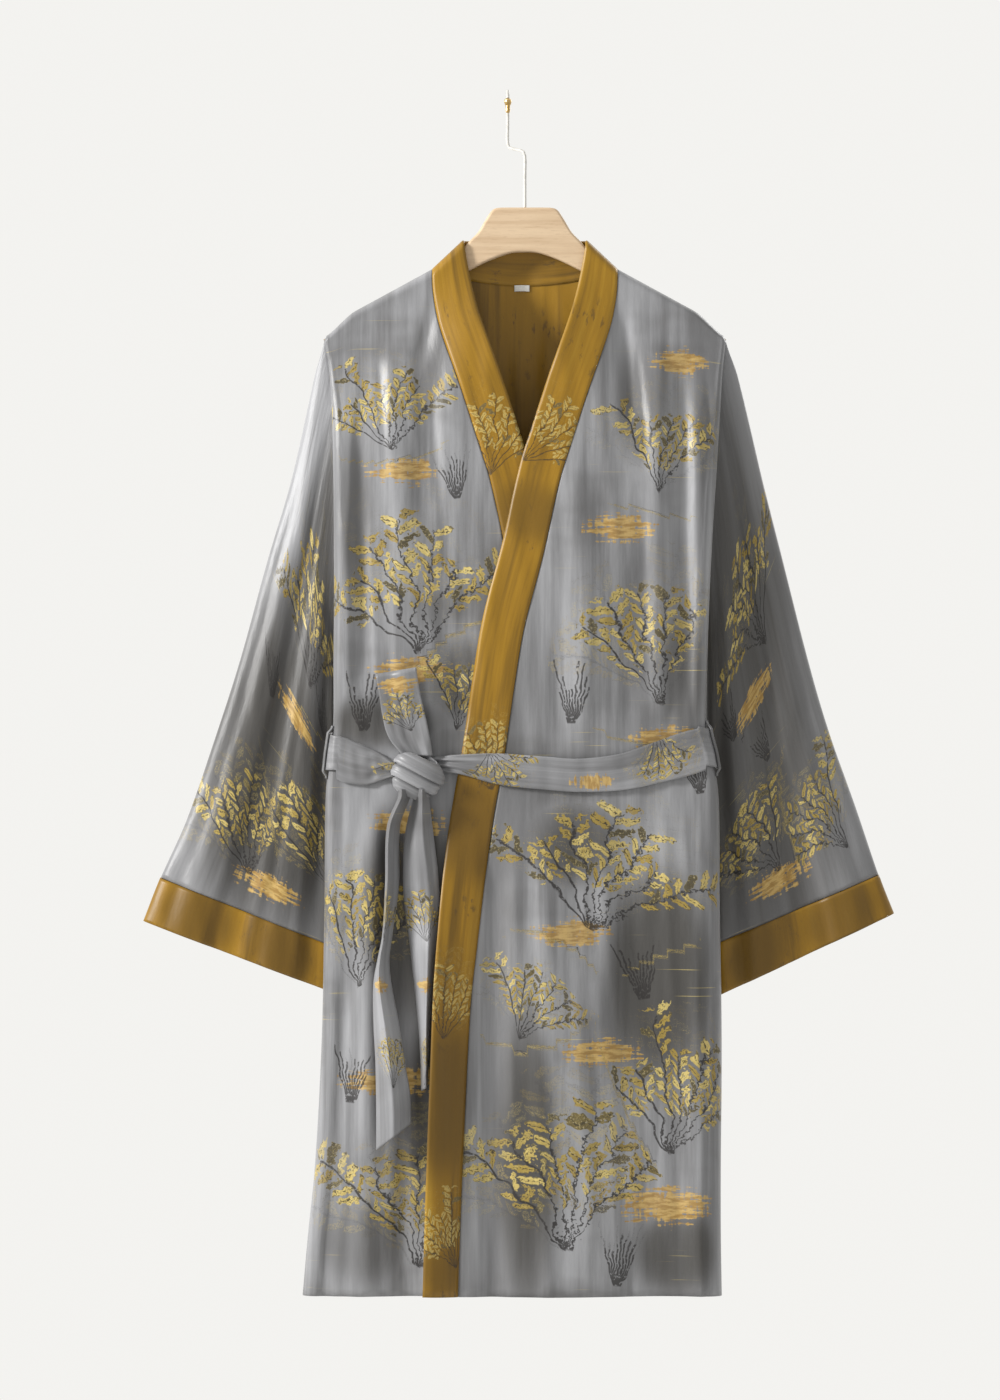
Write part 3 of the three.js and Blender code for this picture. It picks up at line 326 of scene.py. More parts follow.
def cloth_mesh(name, grid, uv, thick, ring):
    """A thin shell from its outer face, rows by columns of points in millimetres, facing along
    (next row) x (next column). The inner face lies one thickness behind it and takes the second
    material. uv is in cloth metres."""
    rows, wide = grid.shape[:2]
    x, y, z = np.moveaxis(grid.reshape(-1, 3), -1, 0)
    corners = points(x + ROBE_X, y, z - tip_drop(x, z)) * MM
    mesh = bpy.data.meshes.new(name)
    columns = wide if ring else wide - 1
    i, j = np.meshgrid(np.arange(rows - 1), np.arange(columns), indexing="ij")
    k = (j + 1) % wide
    faces = np.stack([i * wide + j, (i + 1) * wide + j, (i + 1) * wide + k, i * wide + k], -1)
    faces = faces.reshape(-1, 4)
    mesh.from_pydata(corners.tolist(), [], faces.tolist())
    layer = mesh.uv_layers.new(name="cloth")
    corner = np.empty(len(mesh.loops), int)
    mesh.loops.foreach_get("vertex_index", corner)
    flat = uv.reshape(-1, 2)[corner]
    if ring:
        face_j = np.repeat(j.reshape(-1), 4)
        wraps = (face_j == wide - 1) & (corner % wide == 0)
        flat[wraps, 0] += 2 * uv[0, -1, 0] - uv[0, -2, 0]
    layer.data.foreach_set("uv", flat.astype(np.float32).reshape(-1))
    mesh.shade_smooth()
    piece = bpy.data.objects.new(name, mesh)
    bpy.context.scene.collection.objects.link(piece)
    solid = piece.modifiers.new("cloth thickness", "SOLIDIFY")
    solid.thickness = thick * MM
    solid.offset = -1
    solid.material_offset = 1
    solid.use_quality_normals = True
    return piece


def apply_modifiers(piece):
    shown = bpy.context.evaluated_depsgraph_get()
    mesh = bpy.data.meshes.new_from_object(piece.evaluated_get(shown))
    piece.modifiers.clear()
    piece.data = mesh


# The cloth is a washed grey satin weave, printed with gold and charcoal leaf sprays, small grass
# sprigs and soft ochre brush marks, and ochre on its inner face.
GREY_DEEP = (0.052, 0.048, 0.042)
GREY_MID = (0.175, 0.175, 0.181)
GREY_PALE = (0.355, 0.358, 0.374)
GOLD_PALE = (0.700, 0.560, 0.190)
GOLD_DEEP = (0.340, 0.235, 0.035)
SMEAR_PALE = (0.600, 0.400, 0.120)
SMEAR_DEEP = (0.370, 0.210, 0.035)
INK = (0.020, 0.017, 0.016)
OCHRE_DEEP = (0.150, 0.078, 0.002)
OCHRE = (0.330, 0.172, 0.004)
OCHRE_PALE = (0.500, 0.295, 0.022)
SATIN_ROUGH = 0.42
SATIN_SHEEN, OCHRE_SHEEN = 0.25, 0.06
CRINKLE_STRENGTH, GREY_CRINKLE, OCHRE_CRINKLE = 0.55, 0.0018, 0.0011


class NodeValue:
    """A node's output, for plain sums with numbers and other outputs."""

    def __init__(self, nodes, socket):
        self.nodes, self.socket = nodes, socket

    def __add__(self, other):
        return self.nodes.math("ADD", self, other)

    def __sub__(self, other):
        return self.nodes.math("SUBTRACT", self, other)

    def __rsub__(self, other):
        return self.nodes.math("SUBTRACT", other, self)

    def __mul__(self, other):
        return self.nodes.math("MULTIPLY", self, other)

    def __truediv__(self, other):
        return self.nodes.math("DIVIDE", self, other)

    __radd__, __rmul__ = __add__, __mul__


class Nodes:
    """Short calls that add nodes to one tree and link them up."""

    def __init__(self, tree):
        self.tree = tree

    def add(self, kind, **settings):
        node = self.tree.nodes.new(kind)
        for name, value in settings.items():
            setattr(node, name, value)
        return node

    def link(self, source, socket):
        if isinstance(source, NodeValue):
            self.tree.links.new(source.socket, socket)
        else:
            socket.default_value = source

    def math(self, operation, a, b=0.0):
        node = self.add("ShaderNodeMath", operation=operation)
        self.link(a, node.inputs[0])
        self.link(b, node.inputs[1])
        return NodeValue(self, node.outputs[0])

    def step(self, value, low, high):
        """0 below low, 1 above high, smooth between."""
        node = self.add("ShaderNodeMapRange", interpolation_type="SMOOTHSTEP")
        self.link(value, node.inputs["Value"])
        self.link(low, node.inputs["From Min"])
        self.link(high, node.inputs["From Max"])
        return NodeValue(self, node.outputs["Result"])

    def colour(self, amount, a, b):
        node = self.add("ShaderNodeMix", data_type="RGBA")
        self.link(amount, node.inputs["Factor"])
        self.link((*a, 1) if isinstance(a, tuple) else a, node.inputs["A"])
        self.link((*b, 1) if isinstance(b, tuple) else b, node.inputs["B"])
        return NodeValue(self, node.outputs["Result"])

    def noise(self, place, scale, detail=2.0, rough=0.5, shift=(0, 0, 0)):
        """Noise of one scale, or of one scale along each axis."""
        spread = self.add("ShaderNodeMapping")
        spread.inputs["Scale"].default_value = scale if isinstance(scale, tuple) else (1, 1, 1)
        spread.inputs["Location"].default_value = shift
        self.link(place, spread.inputs["Vector"])
        node = self.add("ShaderNodeTexNoise")
        node.inputs["Scale"].default_value = 1.0 if isinstance(scale, tuple) else scale
        node.inputs["Detail"].default_value = detail
        node.inputs["Roughness"].default_value = rough
        self.tree.links.new(spread.outputs["Vector"], node.inputs["Vector"])
        return NodeValue(self, node.outputs["Fac"])

    def random(self, *parts):
        join = self.add("ShaderNodeCombineXYZ")
        for part, socket in zip(parts, join.inputs):
            self.link(part, socket)
        node = self.add("ShaderNodeTexWhiteNoise")
        self.tree.links.new(join.outputs[0], node.inputs["Vector"])
        return NodeValue(self, node.outputs["Value"])

    def split(self, vector):
        node = self.add("ShaderNodeSeparateXYZ")
        self.link(vector, node.inputs[0])
        return [NodeValue(self, socket) for socket in node.outputs]

    def stored(self, name, output="Fac"):
        return NodeValue(self, self.add("ShaderNodeAttribute", attribute_name=name).outputs[output])

    def surface(self, colour, rough, height, strength, deep):
        """Joins colour, roughness and bump to the material's shader."""
        shader = self.tree.nodes["Principled BSDF"]
        bump = self.add("ShaderNodeBump")
        bump.inputs["Strength"].default_value = strength
        bump.inputs["Distance"].default_value = deep
        self.link(height, bump.inputs["Height"])
        self.tree.links.new(bump.outputs["Normal"], shader.inputs["Normal"])
        self.link(colour, shader.inputs["Base Color"])
        self.link(rough, shader.inputs["Roughness"])

    def cloth_place(self):
        return NodeValue(self, self.add("ShaderNodeUVMap", uv_map="cloth").outputs["UV"])

    def object_place(self):
        return NodeValue(self, self.add("ShaderNodeTexCoord").outputs["Object"])


def new_group(name, inputs, outputs):
    """A node group. Cloth and Place are vectors, and every other socket is one number."""
    group = bpy.data.node_groups.new(name, "ShaderNodeTree")
    for labels, side in ((inputs, "INPUT"), (outputs, "OUTPUT")):
        for label in labels.split():
            kind = "NodeSocketVector" if label in ("Cloth", "Place") else "NodeSocketFloat"
            group.interface.new_socket(label, in_out=side, socket_type=kind)
    n = Nodes(group)
    given = {socket.name: NodeValue(n, socket) for socket in n.add("NodeGroupInput").outputs if socket.name}
    return n, given, n.add("NodeGroupOutput").inputs


def satin_streaks():
    """Long soft streaks down the cloth, small crinkles and the weave's height."""
    n, given, out = new_group("satin_streaks", "Cloth", "Streak Band Wash Height")
    cloth = given["Cloth"]
    broad = n.noise(cloth, (26, 2.2, 1), 3.0, 0.55)
    thin = n.noise(cloth, (150, 5.5, 1), 4.0, 0.6, (3, 8, 0))
    n.link(broad * 0.62 + thin * 0.38, out["Streak"])
    n.link(n.noise(cloth, (13, 3.2, 1), 2.0, 0.5, (5, 2, 0)), out["Band"])
    n.link(n.noise(cloth, (5.5, 9.0, 1), 3.0, 0.6, (11, 4, 0)), out["Wash"])
    crinkle = n.noise(cloth, (62, 17, 1), 3.0, 0.55, (7, 1, 0))
    weave = n.noise(cloth, (1500, 1100, 1), 1.0)
    n.link(crinkle * 0.9 + weave * 0.06, out["Height"])
    return n.tree


STEM_GAP, STEMS_LEAST, STEMS_MORE = 0.31, 2.4, 1.6
LEAVES_UP, LEAF_LONG, LEAF_WIDE, LEAF_OFF = 12.0, 0.36, 0.26, 0.27
LEAF_LOST, LEAF_DARK = 0.12, 0.86


def leaf_spray():
    """Leafy stems that fan out in arcs from one point, from a motif's own place and seed."""
    n, given, out = new_group("leaf_spray", "Cloth Place On", "Gold Ink Tone")
    cloth = given["Cloth"]
    place_x, place_y, seed = n.split(given["Place"])
    jitter = (n.noise(cloth, 210) - 0.5) * 0.13
    p = place_x + ((n.noise(cloth, 22) - 0.5) * 0.55 + jitter)
    q = place_y + 1.0 - jitter
    far = n.math("SQRT", p * p + q * q) * 0.5
    s = n.math("ARCTAN2", p, q) * (1.25 - far * 0.4) / STEM_GAP
    stem = n.math("ROUND", s)
    side = s - stem
    turn = n.math("SIGN", side)
    reach = n.math("ABSOLUTE", side)
    chance = n.random(stem, seed, 2.0)
    long = 0.58 + chance * 0.42
    within = n.math("LESS_THAN", n.math("ABSOLUTE", stem), STEMS_LEAST + chance * STEMS_MORE)
    line = 1.0 - n.step(reach * (far * 0.62), 0.008, 0.02)
    tall = n.step(far, 0.0, 0.03) * n.math("LESS_THAN", far, long * 0.93)
    lean = far * LEAVES_UP + turn * 0.25 - reach * 1.5
    a = (n.math("FRACT", lean) - 0.5) / LEAF_LONG
    b = (reach - LEAF_OFF) / LEAF_WIDE
    edge = a * a + b * b
    pick = n.random(n.math("FLOOR", lean) * 1.7, stem * 3.1 + turn, seed)
    bare = 0.2 + n.random(stem, seed, 7.0) * 0.2
    leafy = n.math("GREATER_THAN", far, bare) * n.math("LESS_THAN", far, long)
    leaf = (1.0 - n.step(edge, 0.75, 1.1)) * (n.math("GREATER_THAN", pick, LEAF_LOST) * leafy)
    brush = n.noise(cloth, 380, 3.0)
    wide_brush = n.noise(cloth, 120)
    rim = leaf * n.step(edge, 0.38, 0.75) * n.step(wide_brush, 0.5, 0.56)
    vein = leaf * (1.0 - n.step(n.math("ABSOLUTE", a), 0.06, 0.2)) * n.step(brush, 0.42, 0.5)
    dark = leaf * n.math("GREATER_THAN", pick, LEAF_DARK)
    strokes = n.math("MAXIMUM", n.math("MAXIMUM", rim, vein), n.math("MAXIMUM", dark, line * tall))
    keep = given["On"] * within
    n.link(keep * (strokes * n.step(brush, 0.30, 0.44)), out["Ink"])
    n.link(keep * (leaf * n.step(brush, 0.26, 0.42)), out["Gold"])
    n.link(pick * 0.55 + wide_brush * 0.55, out["Tone"])
    return n.tree


def grass_sprig():
    """A small tuft of fine ink lines that fan out from one point."""
    n, given, out = new_group("grass_sprig", "Cloth Place On", "Ink")
    place_x, place_y, seed = n.split(given["Place"])
    rise = (place_y + 1.0) * 0.5
    spread = 0.03 + n.math("MAXIMUM", rise, 0.0) * 0.20
    s = (place_x + (n.noise(given["Cloth"], 70) - 0.5) * 0.3) / spread
    stem = n.math("ROUND", s)
    reach = n.math("ABSOLUTE", s - stem) * spread
    top = 0.45 + n.random(stem, seed, 4.0) * 0.5
    line = 1.0 - n.step(reach, 0.018, 0.045)
    tall = n.step(rise, 0.0, 0.03) * n.math("LESS_THAN", rise, top)
    fan = n.math("LESS_THAN", n.math("ABSOLUTE", stem), 4.5)
    brush = n.step(n.noise(given["Cloth"], 300), 0.32, 0.46)
    n.link(line * tall * (fan * (brush * given["On"])), out["Ink"])
    return n.tree


STREAKS = satin_streaks()
SPRAY = leaf_spray()
SPRIG = grass_sprig()


def use_group(n, group, **values):
    node = n.add("ShaderNodeGroup")
    node.node_tree = group
    for name, value in values.items():
        n.link(value, node.inputs[name])
    return {socket.name: NodeValue(n, socket) for socket in node.outputs}


def cloth_shader(n, colour, rough, height, deep, sheen=SATIN_SHEEN):
    shader = n.tree.nodes["Principled BSDF"]
    shader.inputs["Sheen Weight"].default_value = sheen
    shader.inputs["Sheen Roughness"].default_value = 0.4
    shader.inputs["Specular IOR Level"].default_value = 0.5
    n.surface(colour, rough, height, CRINKLE_STRENGTH, deep)


def new_material(name):
    material = bpy.data.materials.new(name)
    material.use_nodes = True
    return material, Nodes(material.node_tree)


def motif(n, group, name, cloth):
    on = n.math("GREATER_THAN", n.stored(name + "_on"), 0.5)
    return use_group(n, group, Cloth=cloth, Place=n.stored(name + "_place", "Vector"), On=on)


def painted_shade_mask(n, streak):
    """The piece's dark washes, feathered along the streaks: painted shade where the robe lies in shadow, and
    partly the print's own dark patches.
    """
    return n.step(n.stored("painted_shade") + (streak - 0.5) * 1.1, 0.08, 0.95)


def printed_grey():
    material, n = new_material("printed_grey_satin")
    cloth = n.cloth_place()
    base = use_group(n, STREAKS, Cloth=cloth)
    level = base["Streak"] * 0.55 + base["Band"] * 0.45
    grey = n.colour(n.step(level, 0.40, 0.62), GREY_MID, GREY_PALE)
    dark = n.step(base["Wash"], 0.50, 0.74) * 0.45
    # Painted shade: the stored dark washes darken the grey toward GREY_DEEP where the robe lies in shadow.
    grey = n.colour(n.math("MAXIMUM", dark, painted_shade_mask(n, base["Streak"]) * 0.92), grey, GREY_DEEP)
    spray = motif(n, SPRAY, "spray", cloth)
    sprig = motif(n, SPRIG, "sprig", cloth)
    smear = n.stored("smear")
    stroke = n.noise(cloth, (24, 260, 1), 4.0, 0.65, (2, 5, 0))
    tuft = n.noise(cloth, (230, 40, 1), 3.0, 0.6, (4, 9, 0))
    ragged = smear + (stroke - 0.5) * 2.6 + (tuft - 0.5) * 1.6
    patch = n.math("GREATER_THAN", smear, 0.02) * n.step(ragged, 0.42, 0.60)
    ochre = n.colour(n.step(n.noise(cloth, (60, 240, 1), 4.0, 0.6), 0.4, 0.6), SMEAR_DEEP, SMEAR_PALE)
    colour = n.colour(patch * 0.85, grey, ochre)
    lines = n.noise(cloth, (7, 360, 1), 2.0, 0.5, (6, 2, 0))
    thin = n.step(lines, 0.68, 0.72) * n.step(base["Wash"], 0.50, 0.60)
    colour = n.colour(thin * 0.5, colour, GOLD_PALE)
    gold = n.colour(n.step(spray["Tone"], 0.3, 0.85), GOLD_DEEP, GOLD_PALE)
    colour = n.colour(spray["Gold"] * 0.93, colour, gold)
    colour = n.colour(n.math("MAXIMUM", spray["Ink"] * 0.9, sprig["Ink"] * 0.85), colour, INK)
    cloth_shader(n, colour, SATIN_ROUGH - 0.06 + base["Streak"] * 0.12, base["Height"], GREY_CRINKLE)
    return material


def ochre_cloth(name, shade, printed):
    material, n = new_material(name)
    cloth = n.cloth_place()
    base = use_group(n, STREAKS, Cloth=cloth)
    streak = base["Streak"]
    colour = n.colour(n.step(streak, 0.34, 0.56), OCHRE_DEEP, OCHRE)
    colour = n.colour(n.step(streak, 0.52, 0.70) * shade, colour, OCHRE_PALE)
    scratch = n.noise(cloth, (120, 46, 1), 4.0, 0.7, (9, 3, 0))
    mark = n.step(scratch, 0.57, 0.64) * n.step(base["Wash"], 0.5, 0.62)
    colour = n.colour(mark * 0.55, colour, INK)
    if printed:
        # Painted shade: dark washes on the bands and cuffs where they lie in shadow.
        colour = n.colour(painted_shade_mask(n, streak), colour, OCHRE_DEEP)
        spray = motif(n, SPRAY, "spray", cloth)
        colour = n.colour(spray["Gold"] * 0.5, colour, GOLD_PALE)
        colour = n.colour(spray["Ink"] * 0.75, colour, INK)
    cloth_shader(n, colour, SATIN_ROUGH - 0.05 + streak * 0.14, base["Height"], OCHRE_CRINKLE, OCHRE_SHEEN)
    return material


GREY_CLOTH = printed_grey()
OCHRE_CLOTH = ochre_cloth("ochre_satin", 0.6, True)
OCHRE_INSIDE = ochre_cloth("ochre_inside", 0.15, False)

MOTIF_REACH, NO_MOTIF, SEED_STEP = 1.45, 9.0, 1.37


def store(mesh, name, values):
    kind, key = ("FLOAT_VECTOR", "vector") if values.ndim == 2 else ("FLOAT", "value")
    layer = mesh.attributes.new(name, kind, "POINT")
    layer.data.foreach_set(key, values.astype(np.float32).reshape(-1))


def put_motifs(piece, sprays=(), sprigs=(), smears=(), washes=()):
    """Store on each point where it lies in the nearest motif. Places and sizes are metres of cloth
    in the piece's own layout, and a motif reaches from -1 to 1 both ways."""
    mesh = piece.data
    corner = np.empty(len(mesh.loops), int)
    mesh.loops.foreach_get("vertex_index", corner)
    flat = np.empty(len(mesh.loops) * 2, np.float32)
    mesh.uv_layers["cloth"].data.foreach_get("uv", flat)
    uv = np.zeros((len(mesh.vertices), 2))
    uv[corner] = flat.reshape(-1, 2)

    for name, motifs in (("spray", sprays), ("sprig", sprigs)):
        place = np.full((len(uv), 3), NO_MOTIF)
        nearest = np.full(len(uv), NO_MOTIF)
        for k, (u, v, wide, tall, tilt) in enumerate(motifs):
            c, s = math.cos(math.radians(tilt)), math.sin(math.radians(tilt))
            dx, dy = uv[:, 0] - u, uv[:, 1] - v
            p, q = (c * dx + s * dy) / wide, (c * dy - s * dx) / tall
            far = np.hypot(p, q)
            here = far < nearest
            place[here] = np.stack([p, q, np.full(len(uv), k * SEED_STEP + len(name))], -1)[here]
            nearest[here] = far[here]
        store(mesh, name + "_place", place)
        store(mesh, name + "_on", nearest < MOTIF_REACH)

    soft = np.zeros(len(uv))
    for u, v, wide, tall in smears:
        far = np.hypot((uv[:, 0] - u) / wide, (uv[:, 1] - v) / tall)
        soft = np.maximum(soft, 1 - np.clip(far, 0, 1) ** 2)
    store(mesh, "smear", soft)
    # Painted shade: soft dark patches where the robe lies in shadow, partly also dark washes of the print.
    painted_shade = np.zeros(len(uv))
    for u, v, wide, tall, strength in washes:
        far = np.hypot((uv[:, 0] - u) / wide, (uv[:, 1] - v) / tall)
        painted_shade = np.maximum(painted_shade, strength * np.exp(-(far**4)))
    store(mesh, "painted_shade", painted_shade)


def sew(name, node, sheet, thick, flat, rests_on="hanger", area=None, ring=False,
        outer=GREY_CLOTH, inner=OCHRE_INSIDE, slot="robe_cloth", **motifs):
    """Cuts one piece, prints it and puts it in its place on the robe."""
    piece = cloth_mesh(name, *sheet, thick, ring)
    piece.data.materials.append(outer)
    piece.data.materials.append(inner)
    put_motifs(piece, **motifs)
    apply_modifiers(piece)
    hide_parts(node)
    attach(piece, "root")


def row_parts(count):
    """Fractions from the hem to the crest, closer together near the crest."""
    return 1 - (1 - np.linspace(0, 1, count)) ** ROW_EASE


def close_shoulder(x, y, z, top_z, seam_y):
    """Brings a layer's top up and in to the crest toward the shoulder's tip, where the layers meet."""
    below = top_z - z
    near = smooth((np.abs(x) - NECK_X) / SEAM_NEAR)
    kept = mix(1, np.sqrt(1 - (1 - np.clip(below / SEAM_ROUND, 0, 1)) ** 2), near)
    short = np.where(np.abs(x) > NECK_X, np.maximum(crest_z(x) - top_z, 0), 0)
    return mix(seam_y, y, kept), z + short * (1 - np.clip(below / SEAM_LIFT, 0, 1))


def back_grid():
    t = row_parts(BACK_ROWS)[:, None]
    u = np.linspace(-1, 1, BACK_COLUMNS)
    top_x = TIP_X * (u + COLUMN_EASE * np.sin(np.pi * u) / np.pi)[None, :]
    z = mix(HEM_Z, back_top_z(top_x), t)
    start, end = back_edge(np.minimum(z, TIP_Z), "left"), back_edge(np.minimum(z, TIP_Z), "right")
    x = mix(start[0], end[0], 0.5 + top_x / (2 * TIP_X))
    y = back_y(x, z, start, end)
    y[-1] = np.maximum(y[-1], SEAM / 2)
    y, z = close_shoulder(x, y, z, z[-1], SEAM / 2)
    return points(x, y, z), points(x, z) * MM


sew(
    "back_cloth", "back_panel", back_grid(), SHELL, BACK_FLAT,
    sprays=[(-0.10, -0.44, 0.085, 0.095, 8), (0.11, -0.57, 0.08, 0.09, -10), (-0.11, -0.86, 0.09, 0.1, -6),
            (0.07, -1.06, 0.09, 0.1, 10), (-0.03, -0.66, 0.05, 0.055, 0), (0.14, -0.34, 0.055, 0.06, 14),
            (0.13, -0.84, 0.06, 0.065, -8), (-0.13, -1.16, 0.06, 0.07, 6)],
    sprigs=[(0.0, -0.33, 0.032, 0.038, 0), (0.0, -0.92, 0.032, 0.04, 6), (-0.17, -0.66, 0.03, 0.036, -8)],
    smears=[(0.02, -0.53, 0.055, 0.02), (0.15, -0.72, 0.05, 0.02), (-0.15, -0.58, 0.05, 0.018),
            (0.0, -1.2, 0.07, 0.022), (-0.05, -1.02, 0.05, 0.018)],
    # Painted shade on the back: dark washes where it lies in shadow.
    washes=[(-0.15, -0.72, 0.06, 0.1, 0.6), (0.12, -1.0, 0.06, 0.16, 0.6), (-0.03, -1.1, 0.05, 0.12, 0.6),
            (0.16, -0.5, 0.04, 0.12, 0.5)],
)


# Fronts.
# Two fronts of the same printed satin, each seamed to its neck band, laid over the shoulder and
# turned round the side edge. The one on the viewer's right laps over the other.
BAND = table(
    "z seam lean turn",
    (-1266, -70, 2, 34), (-1174, -67, 3, 33), (-1104, -64, 4, 32), (-963, -57, 6, 28), (-899, -50, 8, 20),
    (-778, -35, 9, 0), (-696, -21, 10, 0), (-626, -11, 13, 0), (-566, -1, 15, 0), (-493, 18, 17, 0),
    (-408, 37, 19, 0), (-373, 48, 20, 0), (-314, 67, 22, 0), (-266, 84, 24, 0), (-240, 92, 27, 0),
    (-210, 97, 34, 0), (-186, 98, 43, 0),
)
FRONT_FLAT = (0.29, 1.09)
FRONT_ROWS, FRONT_COLUMNS, TURN_COLUMNS = 190, 84, 12
CURL_TUCK, CURL_LOW = 3.5, 10
BEND_FROM, TURN_ARC = 0.85, 12


def facing(sign, grid, layout):
    """A sheet's points and its layout in metres, with its columns in the order that faces outward."""
    return grid[:, ::sign], layout[:, ::sign] * MM


def front_grid(side, over):
    """A front's outer face and its layout, ruled from the band seam to the side."""
    sign = -1 if side == "left" else 1
    t = row_parts(FRONT_ROWS)[::-1, None]
    seam_z = mix(HEM_Z, NECK_Z, t)
    side_z = mix(HEM_Z, TIP_Z, t)
    flat_x, turn, point = front_edge(side_z, side, over)
    u = np.linspace(0, 1, FRONT_COLUMNS)[None, :-1]
    x = mix(sign * column(BAND, "seam", seam_z), flat_x, u)
    z = mix(seam_z, side_z, u)
    bend = smooth((u - BEND_FROM) / (1 - BEND_FROM))
    level = mix(front_depth(x, z, over), front_depth(x, side_z, over), bend)
    angle = turn * np.linspace(0, 1, TURN_COLUMNS)[None, :]
    round_x, round_y = point(angle)
    all_x = np.hstack([x, round_x])
    all_y = np.hstack([-np.maximum(level, SEAM / 2), round_y])
    all_z = np.hstack([z, side_z + 0 * angle])
    arc = np.hstack([0 * x, sign * TURN_ARC * angle])
    below = (TIP_Z - side_z) / CURL_LOW
    all_y, all_z = close_shoulder(all_x, all_y, all_z, all_z[0], -SEAM / 2)
    all_z[:, -TURN_COLUMNS:] -= CURL_TUCK * smooth(2 * angle / turn) * np.clip(1 - below, 0, 1)
    return facing(sign, points(all_x, all_y, all_z), points(all_x + arc, all_z))


sew(
    "left_front_cloth", "left_front", front_grid("right", True), SHELL, FRONT_FLAT,
    sprays=[(0.085, -0.80, 0.095, 0.085, -14), (0.125, -0.56, 0.075, 0.09, 12), (0.03, -1.12, 0.095, 0.1, 10),
            (0.165, -1.03, 0.07, 0.09, -8), (0.15, -0.36, 0.06, 0.065, -8), (0.01, -0.95, 0.045, 0.05, -18)],
    sprigs=[(0.05, -0.63, 0.03, 0.036, 0), (0.12, -0.92, 0.032, 0.036, 8), (0.1, -1.22, 0.03, 0.036, -6),
            (0.18, -0.71, 0.026, 0.03, 10)],
    smears=[(0.05, -0.885, 0.05, 0.018), (0.10, -0.46, 0.045, 0.018), (0.08, -1.01, 0.05, 0.018),
            (0.15, -1.17, 0.06, 0.024), (0.15, -0.68, 0.05, 0.016), (0.16, -0.285, 0.035, 0.018)],
    # Painted shade: dark washes where this front lies in shadow, below the belt and down the lower front.
    washes=[(0.0, -1.12, 0.035, 0.17, 0.9), (0.14, -0.93, 0.06, 0.12, 0.95), (0.05, -0.79, 0.05, 0.05, 0.75),
            (0.16, -1.22, 0.05, 0.05, 0.85), (0.17, -0.62, 0.03, 0.08, 0.6), (0.12, -0.33, 0.03, 0.07, 0.55)],
)

sew(
    "right_front_cloth", "right_front", front_grid("left", False), SHELL, FRONT_FLAT,
    sprays=[(-0.125, -0.50, 0.085, 0.095, 8), (-0.165, -0.86, 0.06, 0.085, -8),
            (-0.115, -1.15, 0.085, 0.09, 6), (-0.15, -0.32, 0.055, 0.06, 12),
            (-0.06, -0.62, 0.05, 0.055, -14)],
    sprigs=[(-0.17, -0.64, 0.028, 0.034, 0), (-0.18, -1.03, 0.028, 0.034, -6),
            (-0.075, -0.40, 0.026, 0.03, 8)],
    smears=[(-0.12, -0.61, 0.05, 0.018), (-0.12, -0.77, 0.05, 0.018), (-0.14, -1.04, 0.06, 0.02),
            (-0.13, -0.40, 0.045, 0.017), (-0.08, -0.92, 0.04, 0.018)],
    # Painted shade: dark washes where this front lies in shadow, below the belt and down the lower front.
    washes=[(-0.12, -0.86, 0.06, 0.12, 0.95), (-0.08, -1.08, 0.05, 0.14, 0.95),
            (-0.17, -1.21, 0.05, 0.05, 0.6), (-0.15, -0.665, 0.07, 0.03, 0.75),
            (-0.06, -0.62, 0.035, 0.05, 0.7), (-0.18, -0.45, 0.025, 0.1, 0.5),
            (-0.1, -0.29, 0.025, 0.06, 0.5)],
)


# Neck bands.
# One folded band of the ochre cloth, 45 mm wide, sewn down each front edge and round the back neck.
BAND_WIDTH, BAND_PROUD, BAND_THICK, BAND_PLUMP = 45.0, 0.6, 1.8, 0.9
BAND_COLUMNS, NECK_COLUMNS = 14, 90
NECK_FREE_X, NECK_FREE_Z = 66.0, -156.0
NECK_LAP, NECK_LAP_ENDS, NECK_THICK = 2.5, 2.4, 2.6
BAND_SETTLE = 12
BAND_LONG, NECK_LONG = 1.12, 0.2
OCHRE_PIECE = dict(outer=OCHRE_CLOTH, inner=OCHRE_CLOTH, slot="contrast_cloth")


def plump(w):
    """The soft rise of a folded band between its two edges, in millimetres."""
    return BAND_PLUMP * (1 - np.abs(2 * w - 1) ** 4)


def band_grid(side, over):
    sign = -1 if side == "left" else 1
    z = mix(HEM_Z, NECK_Z, row_parts(FRONT_ROWS)[::-1, None])
    part = np.linspace(1, SEAM / BAND_WIDTH, BAND_COLUMNS)[None, :]
    w = BAND_WIDTH * part
    lean = np.radians(column(BAND, "lean", z))
    turn = np.radians(column(BAND, "turn", z)) * over
    flat = w * np.cos(turn)
    x = sign * (column(BAND, "seam", z) - flat * np.cos(lean))
    up = z + flat * np.sin(lean)
    near = smooth((NECK_Z - z) / BAND_SETTLE)
    y = -front_depth(x, up, over) - BAND_PROUD - w * np.sin(turn) - plump(part) * near
    y[0] = -SEAM / 2
    return facing(sign, points(x, y, up), points(sign * w, z))


BAND_MIDDLE = 0.022
BAND_SPRAYS = [(-0.36, 24), (-0.69, -18), (-0.95, 12), (-1.19, -20)]
# Painted shade on the bands: dark washes down their lower part, where they lie in shadow.
BAND_SHADE_WASHES = [(-0.45, 0.035, 0.6), (-0.78, 0.06, 0.8), (-1.06, 0.09, 0.85), (-1.24, 0.03, 0.6)]
for name, node, side, over in (
    ("left_band", "collar_left", "right", True), ("right_band", "collar_right", "left", False),
):
    sheet = band_grid(side, over)
    middle = BAND_MIDDLE * (1 if over else -1)
    sew(
        name, node, sheet, BAND_THICK, (BAND_WIDTH * MM, BAND_LONG), **OCHRE_PIECE,
        sprays=[(middle, z, 0.04, 0.05, tilt) for z, tilt in BAND_SPRAYS],
        washes=[(middle, z, 0.05, tall, strength) for z, tall, strength in BAND_SHADE_WASHES],
    )


